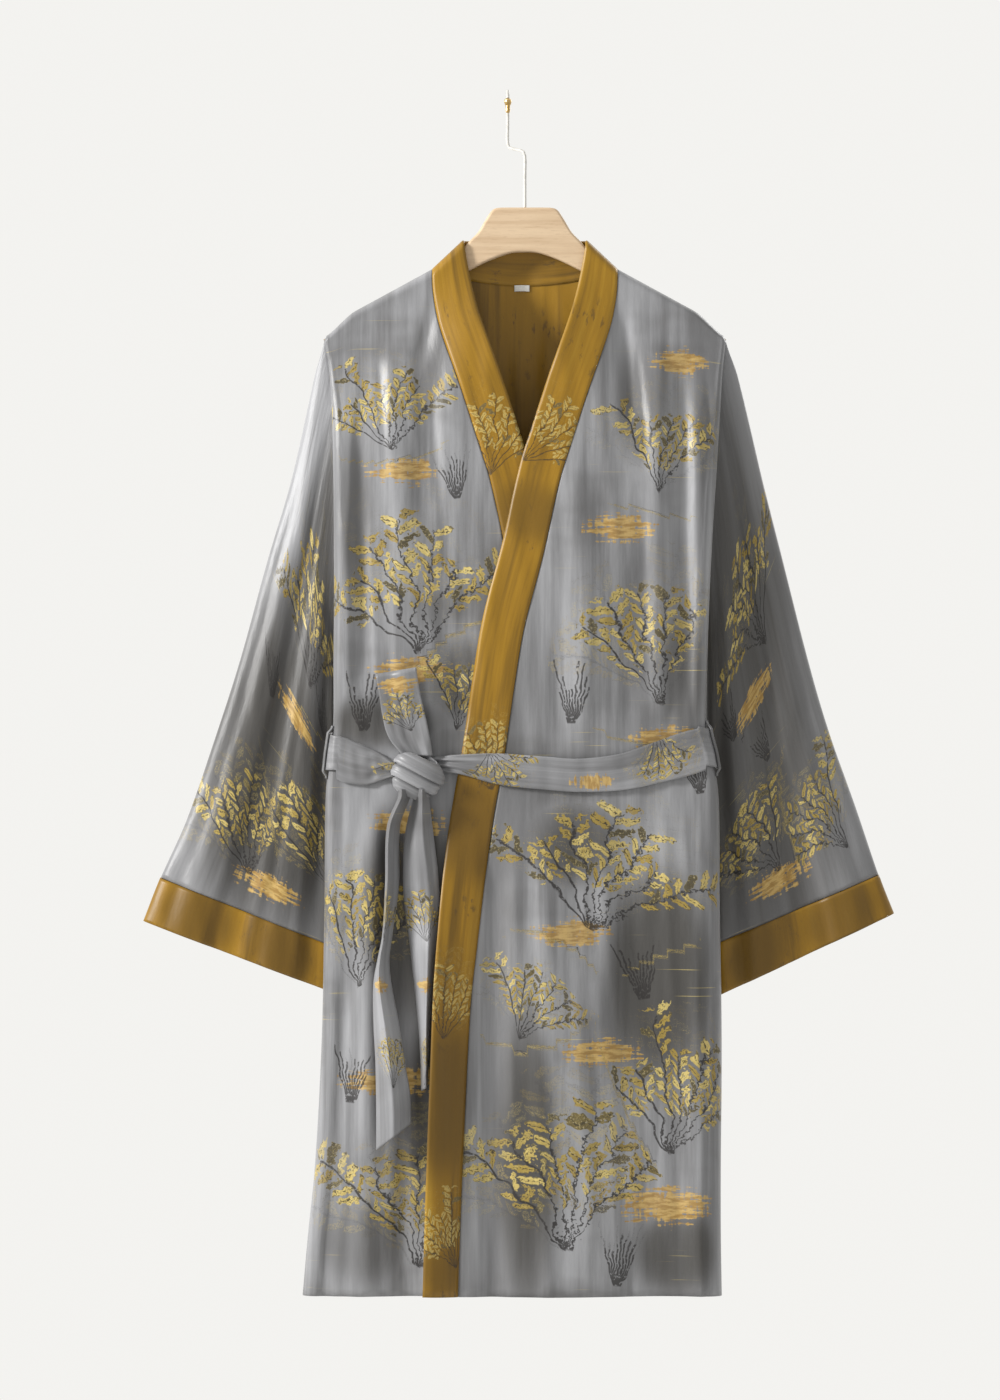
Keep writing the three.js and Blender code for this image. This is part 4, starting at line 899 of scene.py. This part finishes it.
def neck_grid():
    part = np.linspace(0, 1, BAND_COLUMNS)[:, None]
    t = np.sin(np.pi * (2 * np.linspace(0, 1, NECK_COLUMNS) - 1) / 2)[None, :]
    w = mix((NECK_LAP_ENDS * t**8 - NECK_LAP) / BAND_WIDTH, 1, part)
    seam_x = NECK_X * t
    x = mix(seam_x, NECK_FREE_X * t, w)
    z = mix(back_top_z(seam_x), NECK_FREE_Z, w)
    y = back_depth(x, z) + BAND_PROUD + plump(w) * (1 - t**8)
    y[:, 0] = y[:, -1] = SEAM / 2
    return points(x, y, z + SEAM), points(w * BAND_WIDTH, x) * MM


sew("neck_band", "collar_back", neck_grid(), NECK_THICK, (BAND_WIDTH * MM, NECK_LONG), **OCHRE_PIECE)


# Sleeves and cuffs.
# Wide kimono sleeves of the printed cloth, sewn round the armhole and open at the wrist, where each
# ends in a 50 mm cuff of the ochre cloth.
SLEEVE_LEFT = table(
    "s out_x out_z in_x in_z mid half",
    (0, -212, -248, -194, -493, 4, 12), (0.15, -228, -325, -196, -545, 9, 13),
    (0.3, -247, -409, -197, -610, 12, 14), (0.45, -272, -493, -198, -680, 14, 15),
    (0.62, -301, -598, -197, -750, 16, 16), (0.76, -328, -682, -195, -810, 17, 17),
    (0.9, -358, -768, -194, -862, 18, 18), (1, -385, -828, -193, -905, 19, 18),
    (1.1, -403, -874, -194, -953, 19, 19),
)
SLEEVE_RIGHT = table(
    "s out_x out_z in_x in_z mid half",
    (0, 212, -248, 189, -493, 4, 12), (0.15, 230, -315, 190, -545, 9, 13),
    (0.3, 249, -399, 191, -610, 13, 14), (0.45, 269, -478, 191, -680, 16, 15),
    (0.62, 300, -600, 192, -750, 17, 16), (0.76, 322, -675, 193, -810, 18, 17),
    (0.9, 350, -754, 193, -862, 19, 18), (1, 374, -825, 193, -902, 19, 18),
    (1.1, 390, -866, 194, -958, 19, 19),
)
SLEEVE_FOLDS = [
    # place across, half width, height, start
    (0.2, 0.1, 4, 0.1), (0.42, 0.12, -4, 0.2), (0.66, 0.11, 4.5, 0.15), (0.84, 0.08, -3, 0.3),
    (0.1, 0.035, -1.6, 0.25), (0.3, 0.04, 1.5, 0.4), (0.52, 0.04, 1.6, 0.1), (0.57, 0.03, -1.4, 0.5),
    (0.75, 0.035, 1.5, 0.35), (0.35, 0.03, -1.3, 0.0), (0.91, 0.03, 1.3, 0.5),
]
SLEEVE_FLAT, SLEEVE_AREA, SLEEVE_LONG = (0.49, 0.605), 0.137, 590
SLEEVE_RINGS, SLEEVE_ACROSS, SLEEVE_HANG = 120, 72, 0.28
ARM_ROUND, ARM_DEEP = 3, 7
CUFF_FLAT, CUFF_DEEP, CUFF_END = (0.05, 0.49), 50, 1.1
CUFF_RINGS, CUFF_PROUD = 16, 0.6


def armhole(side, u, behind):
    sign = -1 if side == "left" else 1
    z = mix(TIP_Z - 1, UNDERARM_Z, u)
    _, turn, point = front_edge(z, side, side == "right")
    front_x, front_y = point(turn)
    full = (1 - np.abs(2 * u - 1) ** (2 * ARM_ROUND)) ** (1 / ARM_ROUND)
    y = front_y + 4 * SEAM
    back_x, back_y = back_edge(z, side)
    far_y = np.maximum(back_y, y + ARM_DEEP * full)
    x = np.where(behind, back_x + sign * 6 * SEAM, front_x + sign * 3 * SEAM)
    return points(x, np.where(behind, far_y, y), z)


def sleeve_grid(rows, side, s, proud=0.0):
    sign = -1 if side == "left" else 1
    k = 0.5 - 0.5 * np.cos(np.pi * np.arange(SLEEVE_ACROSS) / SLEEVE_ACROSS)
    u = np.concatenate([k, 1 - k])[None, :]
    behind = (np.arange(2 * SLEEVE_ACROSS) >= SLEEVE_ACROSS)[None, :]
    s = s[:, None]

    def get(name):
        return column(rows, name, s)

    full = (1 - np.abs(2 * u - 1) ** ARM_ROUND) ** (1 / ARM_ROUND)
    fold = 0.0
    for at, half, high, start in SLEEVE_FOLDS:
        fold = fold + high * smooth((s - start) / 0.25) * np.exp(-(((u - at) / half) ** 2))
    deep = (get("half") + fold) * full + proud
    x = mix(get("out_x") + sign * proud, get("in_x") - sign * proud, u)
    z = mix(get("out_z"), get("in_z"), u)
    deep = deep + ripple(x, z) * full
    hang = points(x, get("mid") + np.where(behind, deep, -deep), z)
    grid = mix(armhole(side, u, behind)[0], hang, smooth(s / SLEEVE_HANG)[..., None])
    step = np.linalg.norm(np.diff(grid, axis=1), axis=2)
    across = np.hstack([np.zeros((len(grid), 1)), np.cumsum(step, 1)])
    return facing(-sign, grid, points(across.mean(0), -SLEEVE_LONG * s))


for node, cuff_node, rows, side, motifs in (
    ("left_sleeve", "left_cuff", SLEEVE_RIGHT, "right", dict(
        sprays=[(0.09, -0.22, 0.07, 0.09, -16), (0.155, -0.47, 0.07, 0.085, -30),
                (0.055, -0.50, 0.05, 0.065, -28), (0.35, -0.30, 0.07, 0.09, 10),
                (0.46, -0.50, 0.06, 0.07, 6)],
        sprigs=[(0.16, -0.31, 0.026, 0.03, -16), (0.11, -0.38, 0.024, 0.03, -20)],
        smears=[(0.11, -0.33, 0.05, 0.018), (0.12, -0.55, 0.05, 0.018), (0.4, -0.4, 0.06, 0.018)],
        # Painted shade: dark washes on the sleeve, strongest toward its inner side by the body.
        washes=[(0.13, -0.32, 0.15, 0.4, 0.75), (0.21, -0.3, 0.06, 0.34, 1.0), (0.4, -0.4, 0.08, 0.2, 0.6)],
    )),
    ("right_sleeve", "right_cuff", SLEEVE_LEFT, "left", dict(
        sprays=[(0.11, -0.20, 0.07, 0.09, 20), (0.165, -0.44, 0.075, 0.09, 28),
                (0.06, -0.49, 0.055, 0.07, 30), (0.36, -0.26, 0.07, 0.09, -8),
                (0.46, -0.48, 0.06, 0.07, 4)],
        sprigs=[(0.17, -0.28, 0.026, 0.032, 18), (0.06, -0.33, 0.024, 0.03, 20)],
        smears=[(0.12, -0.34, 0.05, 0.018), (0.12, -0.55, 0.05, 0.018), (0.4, -0.38, 0.06, 0.018)],
        # Painted shade: dark washes on the sleeve, strongest toward its inner side by the body.
        washes=[(0.21, -0.3, 0.06, 0.36, 1.0), (0.11, -0.42, 0.13, 0.19, 0.95),
                (0.12, -0.2, 0.06, 0.2, 0.75), (0.4, -0.4, 0.08, 0.2, 0.6)],
    )),
):
    sheet = sleeve_grid(rows, side, np.linspace(0, 1, SLEEVE_RINGS))
    sew(node + "_cloth", node, sheet, SHELL, SLEEVE_FLAT, area=SLEEVE_AREA, ring=True, **motifs)
    start = 1 + (CUFF_END - 1) * SEAM / CUFF_DEEP
    sheet = sleeve_grid(rows, side, np.linspace(start, CUFF_END, CUFF_RINGS), CUFF_PROUD)
    sew(
        cuff_node + "_cloth", cuff_node, sheet, BAND_THICK, CUFF_FLAT, ring=True, **OCHRE_PIECE,
        # Painted shade: dark washes round the cuff, where it lies in shadow.
        washes=[(0.06, -0.62, 0.05, 0.05, 0.75), (0.16, -0.62, 0.04, 0.05, 0.85),
                (0.36, -0.62, 0.08, 0.05, 0.7)],
    )


# Belt.
# A double strip of the robe's own cloth, 42 mm wide. It goes once round the waist through a loop on
# each side seam, and is gathered in soft pleats where it runs into the knot.
BELT_LEFT = table(
    "x top low",
    (-208, -679, -714), (-194, -680, -725), (-178, -686, -729), (-157, -694, -728), (-134, -706, -718),
)
BELT_RIGHT = table(
    "x top low",
    (-96, -700, -713), (-68, -699, -717), (-27, -697, -729), (25, -700, -735), (56, -702, -737),
    (101, -697, -735), (137, -686, -728), (175, -674, -719), (204, -668, -709),
)
BELT_BACK_TOP, BELT_BACK_LOW = -674.0, -714.0
BELT_WIDTH, BELT_CLOTH, BELT_CLEAR, BELT_OFF = 42.0, 2.0, 1.1, 0.7
PLEAT_HIGH, PLEATS, PLEAT_RIGHT, PLEAT_LEFT = 1.6, 2.5, 0.42, 0.8
FOLD_DEEP, FOLD_WIDE, BELT_WAVE = 1.1, 0.07, 0.5
BELT_LAP, WAIST_STEP = 22, 0.02
BELT_STEPS = (90, 22, 90, 22, 30)
BELT_ACROSS = 21
BELT_LONG, BOW_LONG, END_A_LONG, END_B_LONG = 0.95, 0.175, 0.36, 0.31


def waist(q, z):
    """A point on the robe in a level section. q runs 0 to 1 across the front from the knot, to 2
    round the right side, to 3 across the back, to 4 round the left side, and to 5 at the knot."""
    part = np.clip(np.floor(q), 0, 4)
    t = q - part
    right_x, right_turn, right_point = front_edge(z, "right", True)
    left_x, left_turn, left_point = front_edge(z, "left", False)
    front_x = np.where(part == 0, mix(BELT_RIGHT["x"][0], right_x, t), mix(left_x, BELT_LEFT["x"][-1], t))
    lapped = smooth((front_x - BELT_RIGHT["x"][0]) / BELT_LAP)
    front_y = -mix(front_depth(front_x, z, False), front_depth(front_x, z, True) + BAND_PROUD, lapped)
    start, end = back_edge(z, "left"), back_edge(z, "right")
    behind_x = mix(end[0], start[0], t)
    behind_y = back_y(behind_x, z, start, end)
    round_right = right_point(right_turn * t)
    round_left = left_point(left_turn * (1 - t))
    sides = [part == 1, part == 2, part == 3]
    x = np.select(sides, [round_right[0], behind_x, round_left[0]], front_x)
    return x, np.select(sides, [round_right[1], behind_y, round_left[1]], front_y)


def waist_out(q, z):
    """The direction away from the body there."""
    ax, ay = waist(np.maximum(q - WAIST_STEP, 0), z)
    bx, by = waist(np.minimum(q + WAIST_STEP, 5), z)
    long = np.hypot(by - ay, ax - bx)
    return (by - ay) / long, (ax - bx) / long


def belt_heights(q):
    x, _ = waist(q, np.full(q.shape, BELT_BACK_LOW))
    ends = []
    for name, behind in (("low", BELT_BACK_LOW), ("top", BELT_BACK_TOP)):
        front_right = column(BELT_RIGHT, name, x)
        front_left = column(BELT_LEFT, name, x)
        right = mix(BELT_RIGHT[name][-1], behind, q - 1)
        left = mix(behind, BELT_LEFT[name][0], q - 3)
        ends.append(np.select([q <= 1, q >= 4, q < 2, q > 3], [front_right, front_left, right, left], behind))
    return ends


def length_along(line):
    """How far each point of a line lies from its start."""
    return np.concatenate([[0], np.cumsum(np.linalg.norm(np.diff(line, axis=0), axis=1))])


def belt_grid():
    steps = [i + np.linspace(0, 1, n, endpoint=False) for i, n in enumerate(BELT_STEPS)]
    q = np.concatenate([*steps, [5.0]])
    low, top = belt_heights(q)
    w = np.linspace(1, 0, BELT_ACROSS)[:, None]
    z = mix(low, top, w)
    q = np.broadcast_to(q, z.shape)
    x, y = waist(q, z)
    out_x, out_y = waist_out(q, z)
    near = np.clip(1 - np.where(q < 1, q / PLEAT_RIGHT, (5 - q) / PLEAT_LEFT), 0, 1) * ((q < 1) | (q > 4))
    pleat = PLEAT_HIGH * smooth(near) * np.cos(2 * np.pi * (PLEATS * w + 0.25 * np.sin(q * 9)))
    fold = FOLD_DEEP * np.exp(-(((w - 0.62 - 0.08 * np.sin(q * 5)) / FOLD_WIDE) ** 2)) * (q < 1)
    wave = BELT_WAVE * np.sin(q * 23 + w * 3) * np.sin(q * 7) * smooth(w * 5) * smooth((1 - w) * 5)
    out = BELT_CLEAR + BELT_CLOTH + BELT_OFF + pleat - fold + wave
    grid = points(x + out_x * out, y + out_y * out, z)
    return grid, points(BELT_WIDTH * w, length_along(grid[BELT_ACROSS // 2])) * MM


sew(
    "belt_cloth", "belt_round", belt_grid(), BELT_CLOTH, (BELT_WIDTH * MM, BELT_LONG), "back_panel",
    inner=GREY_CLOTH,
    sprays=[(0.016, 0.075, 0.03, 0.035, 60), (0.02, 0.25, 0.034, 0.036, 82), (0.018, 0.52, 0.03, 0.034, 70),
            (0.02, 0.86, 0.03, 0.03, 80)],
    smears=[(0.012, 0.17, 0.012, 0.03), (0.02, 0.66, 0.014, 0.03)],
)

# The knot, a half bow: the belt folded lengthwise and wound tight, left of the robe's middle.
KNOT_X, KNOT_Z, KNOT_SLOPE = -114.0, -720.0, 57.0
KNOT_ALONG, KNOT_ACROSS, KNOT_DEEP = 24.0, 27.0, 13.0
KNOT_TURNS, STRIP_WIDE, STRIP_RAISE = 2.8, 18.0, 3
KNOT_STEPS, STRIP_ACROSS = 260, 15
KNOT_CLOTH, KNOT_FLAT, KNOT_OFF = 1.2, (0.021, 0.35), 2
KNOT_INSET, KNOT_BLUNT, KNOT_TAPER = 5, 0.375, 0.14


def knot_grid():
    """The folded strip wound round itself, each turn lapped on the one before."""
    turn = np.linspace(0, 1, KNOT_STEPS)[None, :]
    v = np.linspace(-1, 1, STRIP_ACROSS)[:, None]
    middle = mix(KNOT_INSET - KNOT_ALONG, KNOT_ALONG - KNOT_INSET, turn)
    p = np.clip(middle + v * STRIP_WIDE / 2, -KNOT_ALONG + SEAM, KNOT_ALONG - SEAM)
    bundle = (1 - (p / KNOT_ALONG) ** 2) ** KNOT_BLUNT * (1 + KNOT_TAPER * p / KNOT_ALONG)
    puff = (2.4 * (1 - v**2) - 3.0 * v - 0.5 * np.cos(9 * v + 5 * turn)) * bundle
    angle = 2 * np.pi * KNOT_TURNS * turn + 0.5 * v
    side = ((KNOT_ACROSS - STRIP_RAISE) * bundle + puff) * np.cos(angle)
    out = ((KNOT_DEEP - STRIP_RAISE) * bundle + puff) * np.sin(angle)
    slope = math.radians(KNOT_SLOPE)
    x = KNOT_X + p * math.cos(slope) - side * math.sin(slope)
    z = KNOT_Z + p * math.sin(slope) + side * math.cos(slope)
    level = front_depth(KNOT_X, KNOT_Z, False) + KNOT_DEEP + KNOT_OFF
    return points(x, -level - out, z), points(KNOT_FLAT[0] * v, KNOT_FLAT[1] * turn)


sew("belt_knot_cloth", "belt_knot", knot_grid(), KNOT_CLOTH, KNOT_FLAT, "belt_round", inner=GREY_CLOTH)

# The bow's one loop, which stands up out of the knot and leans on the robe.
BOW_LOOP = table(
    "z left right",
    (-699, -127, -97), (-680, -143, -100), (-655, -150, -106), (-635, -153, -111), (-618, -156, -114),
)
BOW_TILT, BOW_GAP, BOW_OFF, BOW_CLOTH = 7.0, 5.0, 3, 1.6
BOW_ROWS, BOW_BEND, BOW_COLUMNS = 50, 14, 25
BOW_CREASE, BOW_PLEAT, BOW_PLEATS = 2.2, 1.6, 2.4


def bow_grid():
    low, high = BOW_LOOP["z"][0], BOW_LOOP["z"][-1]
    flat = np.linspace(0, 1, BOW_ROWS)
    bend = np.linspace(0, 1, BOW_BEND)[1:-1]
    z = np.concatenate([mix(low, high, flat), np.full(bend.shape, high), mix(high, low, flat)])[:, None]
    offset = np.concatenate([
        np.full(BOW_ROWS, -BOW_GAP), -BOW_GAP * np.cos(np.pi * bend), np.full(BOW_ROWS, BOW_GAP),
    ])[:, None]
    extra = np.concatenate([0 * flat, BOW_GAP * np.sin(np.pi * bend), 0 * flat])[:, None]
    u = np.linspace(0, 1, BOW_COLUMNS)[None, :]
    x = mix(column(BOW_LOOP, "left", z), column(BOW_LOOP, "right", z), u)
    base = front_depth(x, z, False) + BELT_CLOTH + BOW_GAP + BOW_OFF
    rise = (z - low) / (high - low)
    crease = BOW_CREASE * np.exp(-(((u - 0.42 - 0.12 * rise) / 0.1) ** 2)) * smooth((1.05 - rise) / 0.5)
    pinch = BOW_PLEAT * np.cos(2 * np.pi * BOW_PLEATS * u) * smooth((0.35 - rise) / 0.35)
    y = -base + offset * (1 - 0.35 * (1 - rise)) + (crease - pinch) * np.where(offset < 0, 1, 0.3)
    grid = points(x, y, z + BOW_TILT * u * smooth(rise) + extra)
    along = length_along(grid[:, BOW_COLUMNS // 2])[:, None]
    return grid[::-1], points(BELT_WIDTH * u, along)[::-1] * MM


sew(
    "belt_bow_cloth", "belt_bow_loop", bow_grid(), BOW_CLOTH, (BELT_WIDTH * MM, BOW_LONG), "belt_knot",
    inner=GREY_CLOTH, sprays=[(0.02, 0.055, 0.024, 0.028, 10)], smears=[(0.022, 0.078, 0.026, 0.012)],
)

# The two hanging ends, each creased down its length, the longer one cut on a slant.
END_A = table(
    "z left right crease clear",
    (-742, -133, -120, 0.3, 9), (-773, -145, -131, 0.25, 6), (-833, -147, -132, 0.2, 5),
    (-887, -150, -139, 0.2, 5), (-913, -155, -142, 0.25, 5), (-937, -159, -140, 0.35, 5),
    (-979, -159, -132, 0.45, 5), (-1019, -157, -126, 0.5, 5), (-1055, -156, -120, 0.5, 5),
    (-1084, -156, -119, 0.5, 5),
)
END_B = table(
    "z left right crease clear",
    (-742, -117, -101, 0.6, 9), (-781, -126, -96, 0.65, 5), (-823, -128, -91, 0.7, 5),
    (-851, -127, -89, 0.7, 5), (-881, -123, -90, 0.7, 5), (-905, -120, -93, 0.7, 5),
    (-972, -113, -99, 0.7, 5), (-1013, -110, -101, 0.7, 5), (-1044, -109, -102, 0.7, 5),
)
END_ROWS, END_COLUMNS, END_CLOTH = 150, 25, 1.6
END_TUCK, END_LIMP, CREASE_ROUND = 8, 1.2, 0.25
END_A_SLANT, END_B_SLANT = 28, 6
HALVINGS = 30


def crease_rise(wide, crease):
    """How far the crease stands out so that the strip keeps its width, by halving."""
    low, high = np.zeros_like(wide), np.full_like(wide, BELT_WIDTH)
    for _ in range(HALVINGS):
        rise = (low + high) / 2
        width = np.hypot(wide * crease, rise) + np.hypot(wide * (1 - crease), rise)
        low, high = np.where(width > BELT_WIDTH, low, rise), np.where(width > BELT_WIDTH, rise, high)
    return low


def hanging_grid(rows, slant):
    v = np.linspace(0, 1, END_ROWS)[:, None]
    z = mix(rows["z"][-1] + END_TUCK, rows["z"][0], v)
    left, right, crease = column(rows, "left", z), column(rows, "right", z), column(rows, "crease", z)
    rise = crease_rise(right - left, crease)
    under = np.max([front_depth(mix(left, right, k), z, False) for k in (0, 0.5, 1)], 0)
    base = under + column(rows, "clear", z) + BELT_CLOTH
    k = np.linspace(0, 2, END_COLUMNS)[None, :]
    u = np.where(k < 1, crease * k, mix(crease, 1, k - 1))
    peak = 1 - np.abs(k - 1)
    soft = mix(peak, peak * (2 - peak), CREASE_ROUND)
    cut = slant * (1 - u) * smooth((v - 0.8) / 0.2)
    limp = END_LIMP * np.sin(z * 0.045 + 3 * u) * smooth(v * 4)
    grid = points(mix(left, right, u), -base - rise * soft - limp * (1 - peak), z - cut)
    return grid, points(BELT_WIDTH * k / 2, z) * MM


for node, rows, slant, long in (
    ("belt_end_a", END_A, END_A_SLANT, END_A_LONG), ("belt_end_b", END_B, END_B_SLANT, END_B_LONG),
):
    sew(
        node + "_cloth", node, hanging_grid(rows, slant), END_CLOTH, (BELT_WIDTH * MM, long), "belt_knot",
        inner=GREY_CLOTH, sprays=[(0.016, -0.86, 0.024, 0.034, 8), (0.03, -1.01, 0.024, 0.034, -12)],
        smears=[(0.02, -0.94, 0.02, 0.01)],
    )

# A narrow loop of the same satin on each side seam, which holds the belt up.
LOOP_CLOTH, LOOP_RISE, LOOP_OFF, LOOP_OVER, LOOP_Q = 1.4, 9.0, 0.7, 1.2, 1.5
LOOP_HALF_Q, LOOP_HALF_WIDE, LOOP_ROWS, LOOP_COLUMNS = 0.08, 5, 60, 9
LOOP_FLAT = (0.01, 0.065)
for name, q_middle in (("belt_loop_left", LOOP_Q), ("belt_loop_right", 5 - LOOP_Q)):
    low, top = (heights[0] for heights in belt_heights(np.array([q_middle])))
    v = np.linspace(1, 0, LOOP_ROWS)[:, None]
    across = np.linspace(-1, 1, LOOP_COLUMNS)[None, :]
    q, z = np.broadcast_arrays(q_middle + LOOP_HALF_Q * across, mix(low - LOOP_RISE, top + LOOP_RISE, v))
    over_belt = smooth((v - 0.02) / 0.13) * smooth((0.98 - v) / 0.13)
    out = LOOP_CLOTH + LOOP_OFF + (BELT_CLEAR + BELT_CLOTH + LOOP_OVER) * over_belt
    x, y = waist(q, z)
    out_x, out_y = waist_out(q, z)
    sheet = points(x + out_x * out, y + out_y * out, z), points(LOOP_HALF_WIDE * across, z) * MM
    sew(name + "_cloth", name, sheet, LOOP_CLOTH, LOOP_FLAT, "belt_round", inner=GREY_CLOTH)


# Label.
# A small bare label of pale woven satin ribbon, sewn flat inside the back neck just below the band.
LABEL_X, LABEL_WIDE, LABEL_TALL, LABEL_OFF, LABEL_DROP = -3.0, 16.0, 6.5, 2.9, 1.0
LABEL_CLOTH, LABEL_FLAT, LABEL_AREA = 0.5, (0.016, 0.01), 0.00012
LABEL_COLUMNS, LABEL_ROWS, LABEL_BOW, LABEL_CURL = 25, 13, 0.25, 0.35


def woven_label():
    material, n = new_material("label_ribbon")
    cloth = n.cloth_place()
    weave = n.noise(cloth, (5200, 2600, 1), 1.0)
    colour = n.colour(n.noise(cloth, 260, 3.0) * 0.5, (0.80, 0.79, 0.75), (0.68, 0.66, 0.61))
    colour = n.colour(n.step(weave, 0.5, 0.7) * 0.12, colour, (0.5, 0.48, 0.44))
    cloth_shader(n, colour, 0.5 + weave * 0.15, weave, 0.0001)
    return material


ribbon = woven_label()
u = np.linspace(0, 1, LABEL_COLUMNS)[None, :]
v = np.linspace(0, 1, LABEL_ROWS)[:, None]
x = LABEL_X + LABEL_WIDE * (u - 0.5)
z = back_top_z(LABEL_X) - LABEL_DROP - LABEL_TALL * v + LABEL_BOW * np.sin(np.pi * u)
y = back_depth(x, z) - LABEL_OFF - LABEL_CURL * v * np.sin(np.pi * u)
sew(
    "size_label_cloth", "size_label", (points(x, y, z), points(x, z) * MM), LABEL_CLOTH, LABEL_FLAT,
    "back_panel", area=LABEL_AREA, outer=ribbon, inner=ribbon, slot="label_cloth",
)


# Hanger.
# A flat maple board sawn to shape, its edges eased and its faces sanded and sealed. Its two arms
# carry the robe's shoulders.
def maple():
    material, n = new_material("sealed_maple")
    place = n.object_place()
    grain = n.noise(place, (7, 30, 120), 4.0, 0.55)
    pores = n.noise(place, (90, 260, 1100), 3.0, 0.6, (3, 1, 2))
    tone = n.noise(place, (5, 5, 14), 2.0, 0.5, (8, 2, 5))
    colour = n.colour(n.step(grain, 0.32, 0.68), (0.60, 0.425, 0.262), (0.745, 0.565, 0.375))
    colour = n.colour(n.step(pores, 0.56, 0.72) * 0.3, colour, (0.42, 0.27, 0.15))
    colour = n.colour(n.step(tone, 0.45, 0.7) * 0.35, colour, (0.69, 0.49, 0.31))
    shader = n.tree.nodes["Principled BSDF"]
    shader.inputs["Coat Weight"].default_value = 0.15
    shader.inputs["Coat Roughness"].default_value = 0.35
    n.surface(colour, 0.38 + pores * 0.2, grain + pores * 0.5, 0.25, 0.0003)
    return material


HANGER_HALF = [
    (0, -121), (22, -121), (29, -121.4), (33.5, -123), (37, -126.8), (42.5, -135.5), (49.5, -147),
    (59.5, -157.5), (71, -170.5), (84, -179.5), (100, -192.1), (146, -216.1), (194, -242.2), (199.5, -249),
    (200, -257), (196, -263.5), (188, -263.6), (160, -247.7), (110, -222.5), (86, -203), (64, -190.5),
    (36, -176.5), (14, -169), (0, -168),
]
HANGER_THICK, HANGER_EASE, HANGER_STEPS = 12.0, 3.0, 420


def hanger_outline():
    """A smooth closed line through the half outline and its mirror, in even short steps."""
    half = np.array(HANGER_HALF, float)
    ring = np.vstack([half, (half * (-1, 1))[-2:0:-1], half[:1]])
    rows = {"s": length_along(ring), "x": ring[:, 0], "z": ring[:, 1]}
    at = np.linspace(0, rows["s"][-1], HANGER_STEPS, endpoint=False)
    x, z = column(rows, "x", at), column(rows, "z", at)
    return points(x, z - tip_drop(x, z))


outline = hanger_outline()
board = bmesh.new()
faces = []
for y in (-HANGER_THICK / 2, HANGER_THICK / 2):
    faces.append([board.verts.new(((x + ROBE_X) * MM, y * MM, z * MM)) for x, z in outline])
board.faces.new(faces[0][::-1])
board.faces.new(faces[1])
for k in range(HANGER_STEPS):
    after = (k + 1) % HANGER_STEPS
    board.faces.new((faces[0][k], faces[0][after], faces[1][after], faces[1][k]))
bmesh.ops.recalc_face_normals(board, faces=board.faces)
mesh = bpy.data.meshes.new("hanger_board")
board.to_mesh(mesh)
board.free()
hanger = bpy.data.objects.new("hanger_board", mesh)
bpy.context.scene.collection.objects.link(hanger)
ease = hanger.modifiers.new("eased edges", "BEVEL")
ease.width = HANGER_EASE * MM
ease.segments = 4
ease.limit_method = "ANGLE"
ease.angle_limit = math.radians(50)
ease.harden_normals = True
mesh.materials.append(maple())
mesh.shade_smooth()
apply_modifiers(hanger)
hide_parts("hanger")
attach(hanger, "root")


# Hook.
# A bent steel wire with a pale painted skin, driven into the hanger's middle, and a turned brass
# tip on its front end. Both keep the shapes of the solids and take their finish here.
def metal(name, dark, pale, metallic, rough, deep):
    material, n = new_material(name)
    place = n.object_place()
    wear = n.noise(place, 160, 3.0)
    n.tree.nodes["Principled BSDF"].inputs["Metallic"].default_value = metallic
    colour = n.colour(n.step(wear, 0.35, 0.65), dark, pale)
    n.surface(colour, rough + wear * 0.2, n.noise(place, (900, 900, 60), 3.0, 0.55), 0.3, deep)
    return material


def set_material(node, material):
    for place in bpy.data.objects[node].material_slots:
        place.material = material


set_material("hook_wire", metal("pale_wire", (0.60, 0.585, 0.55), (0.72, 0.705, 0.67), 0.0, 0.35, 0.00003))
set_material("hook_tip", metal("brushed_brass", (0.52, 0.34, 0.12), (0.72, 0.52, 0.24), 1.0, 0.25, 0.0001))
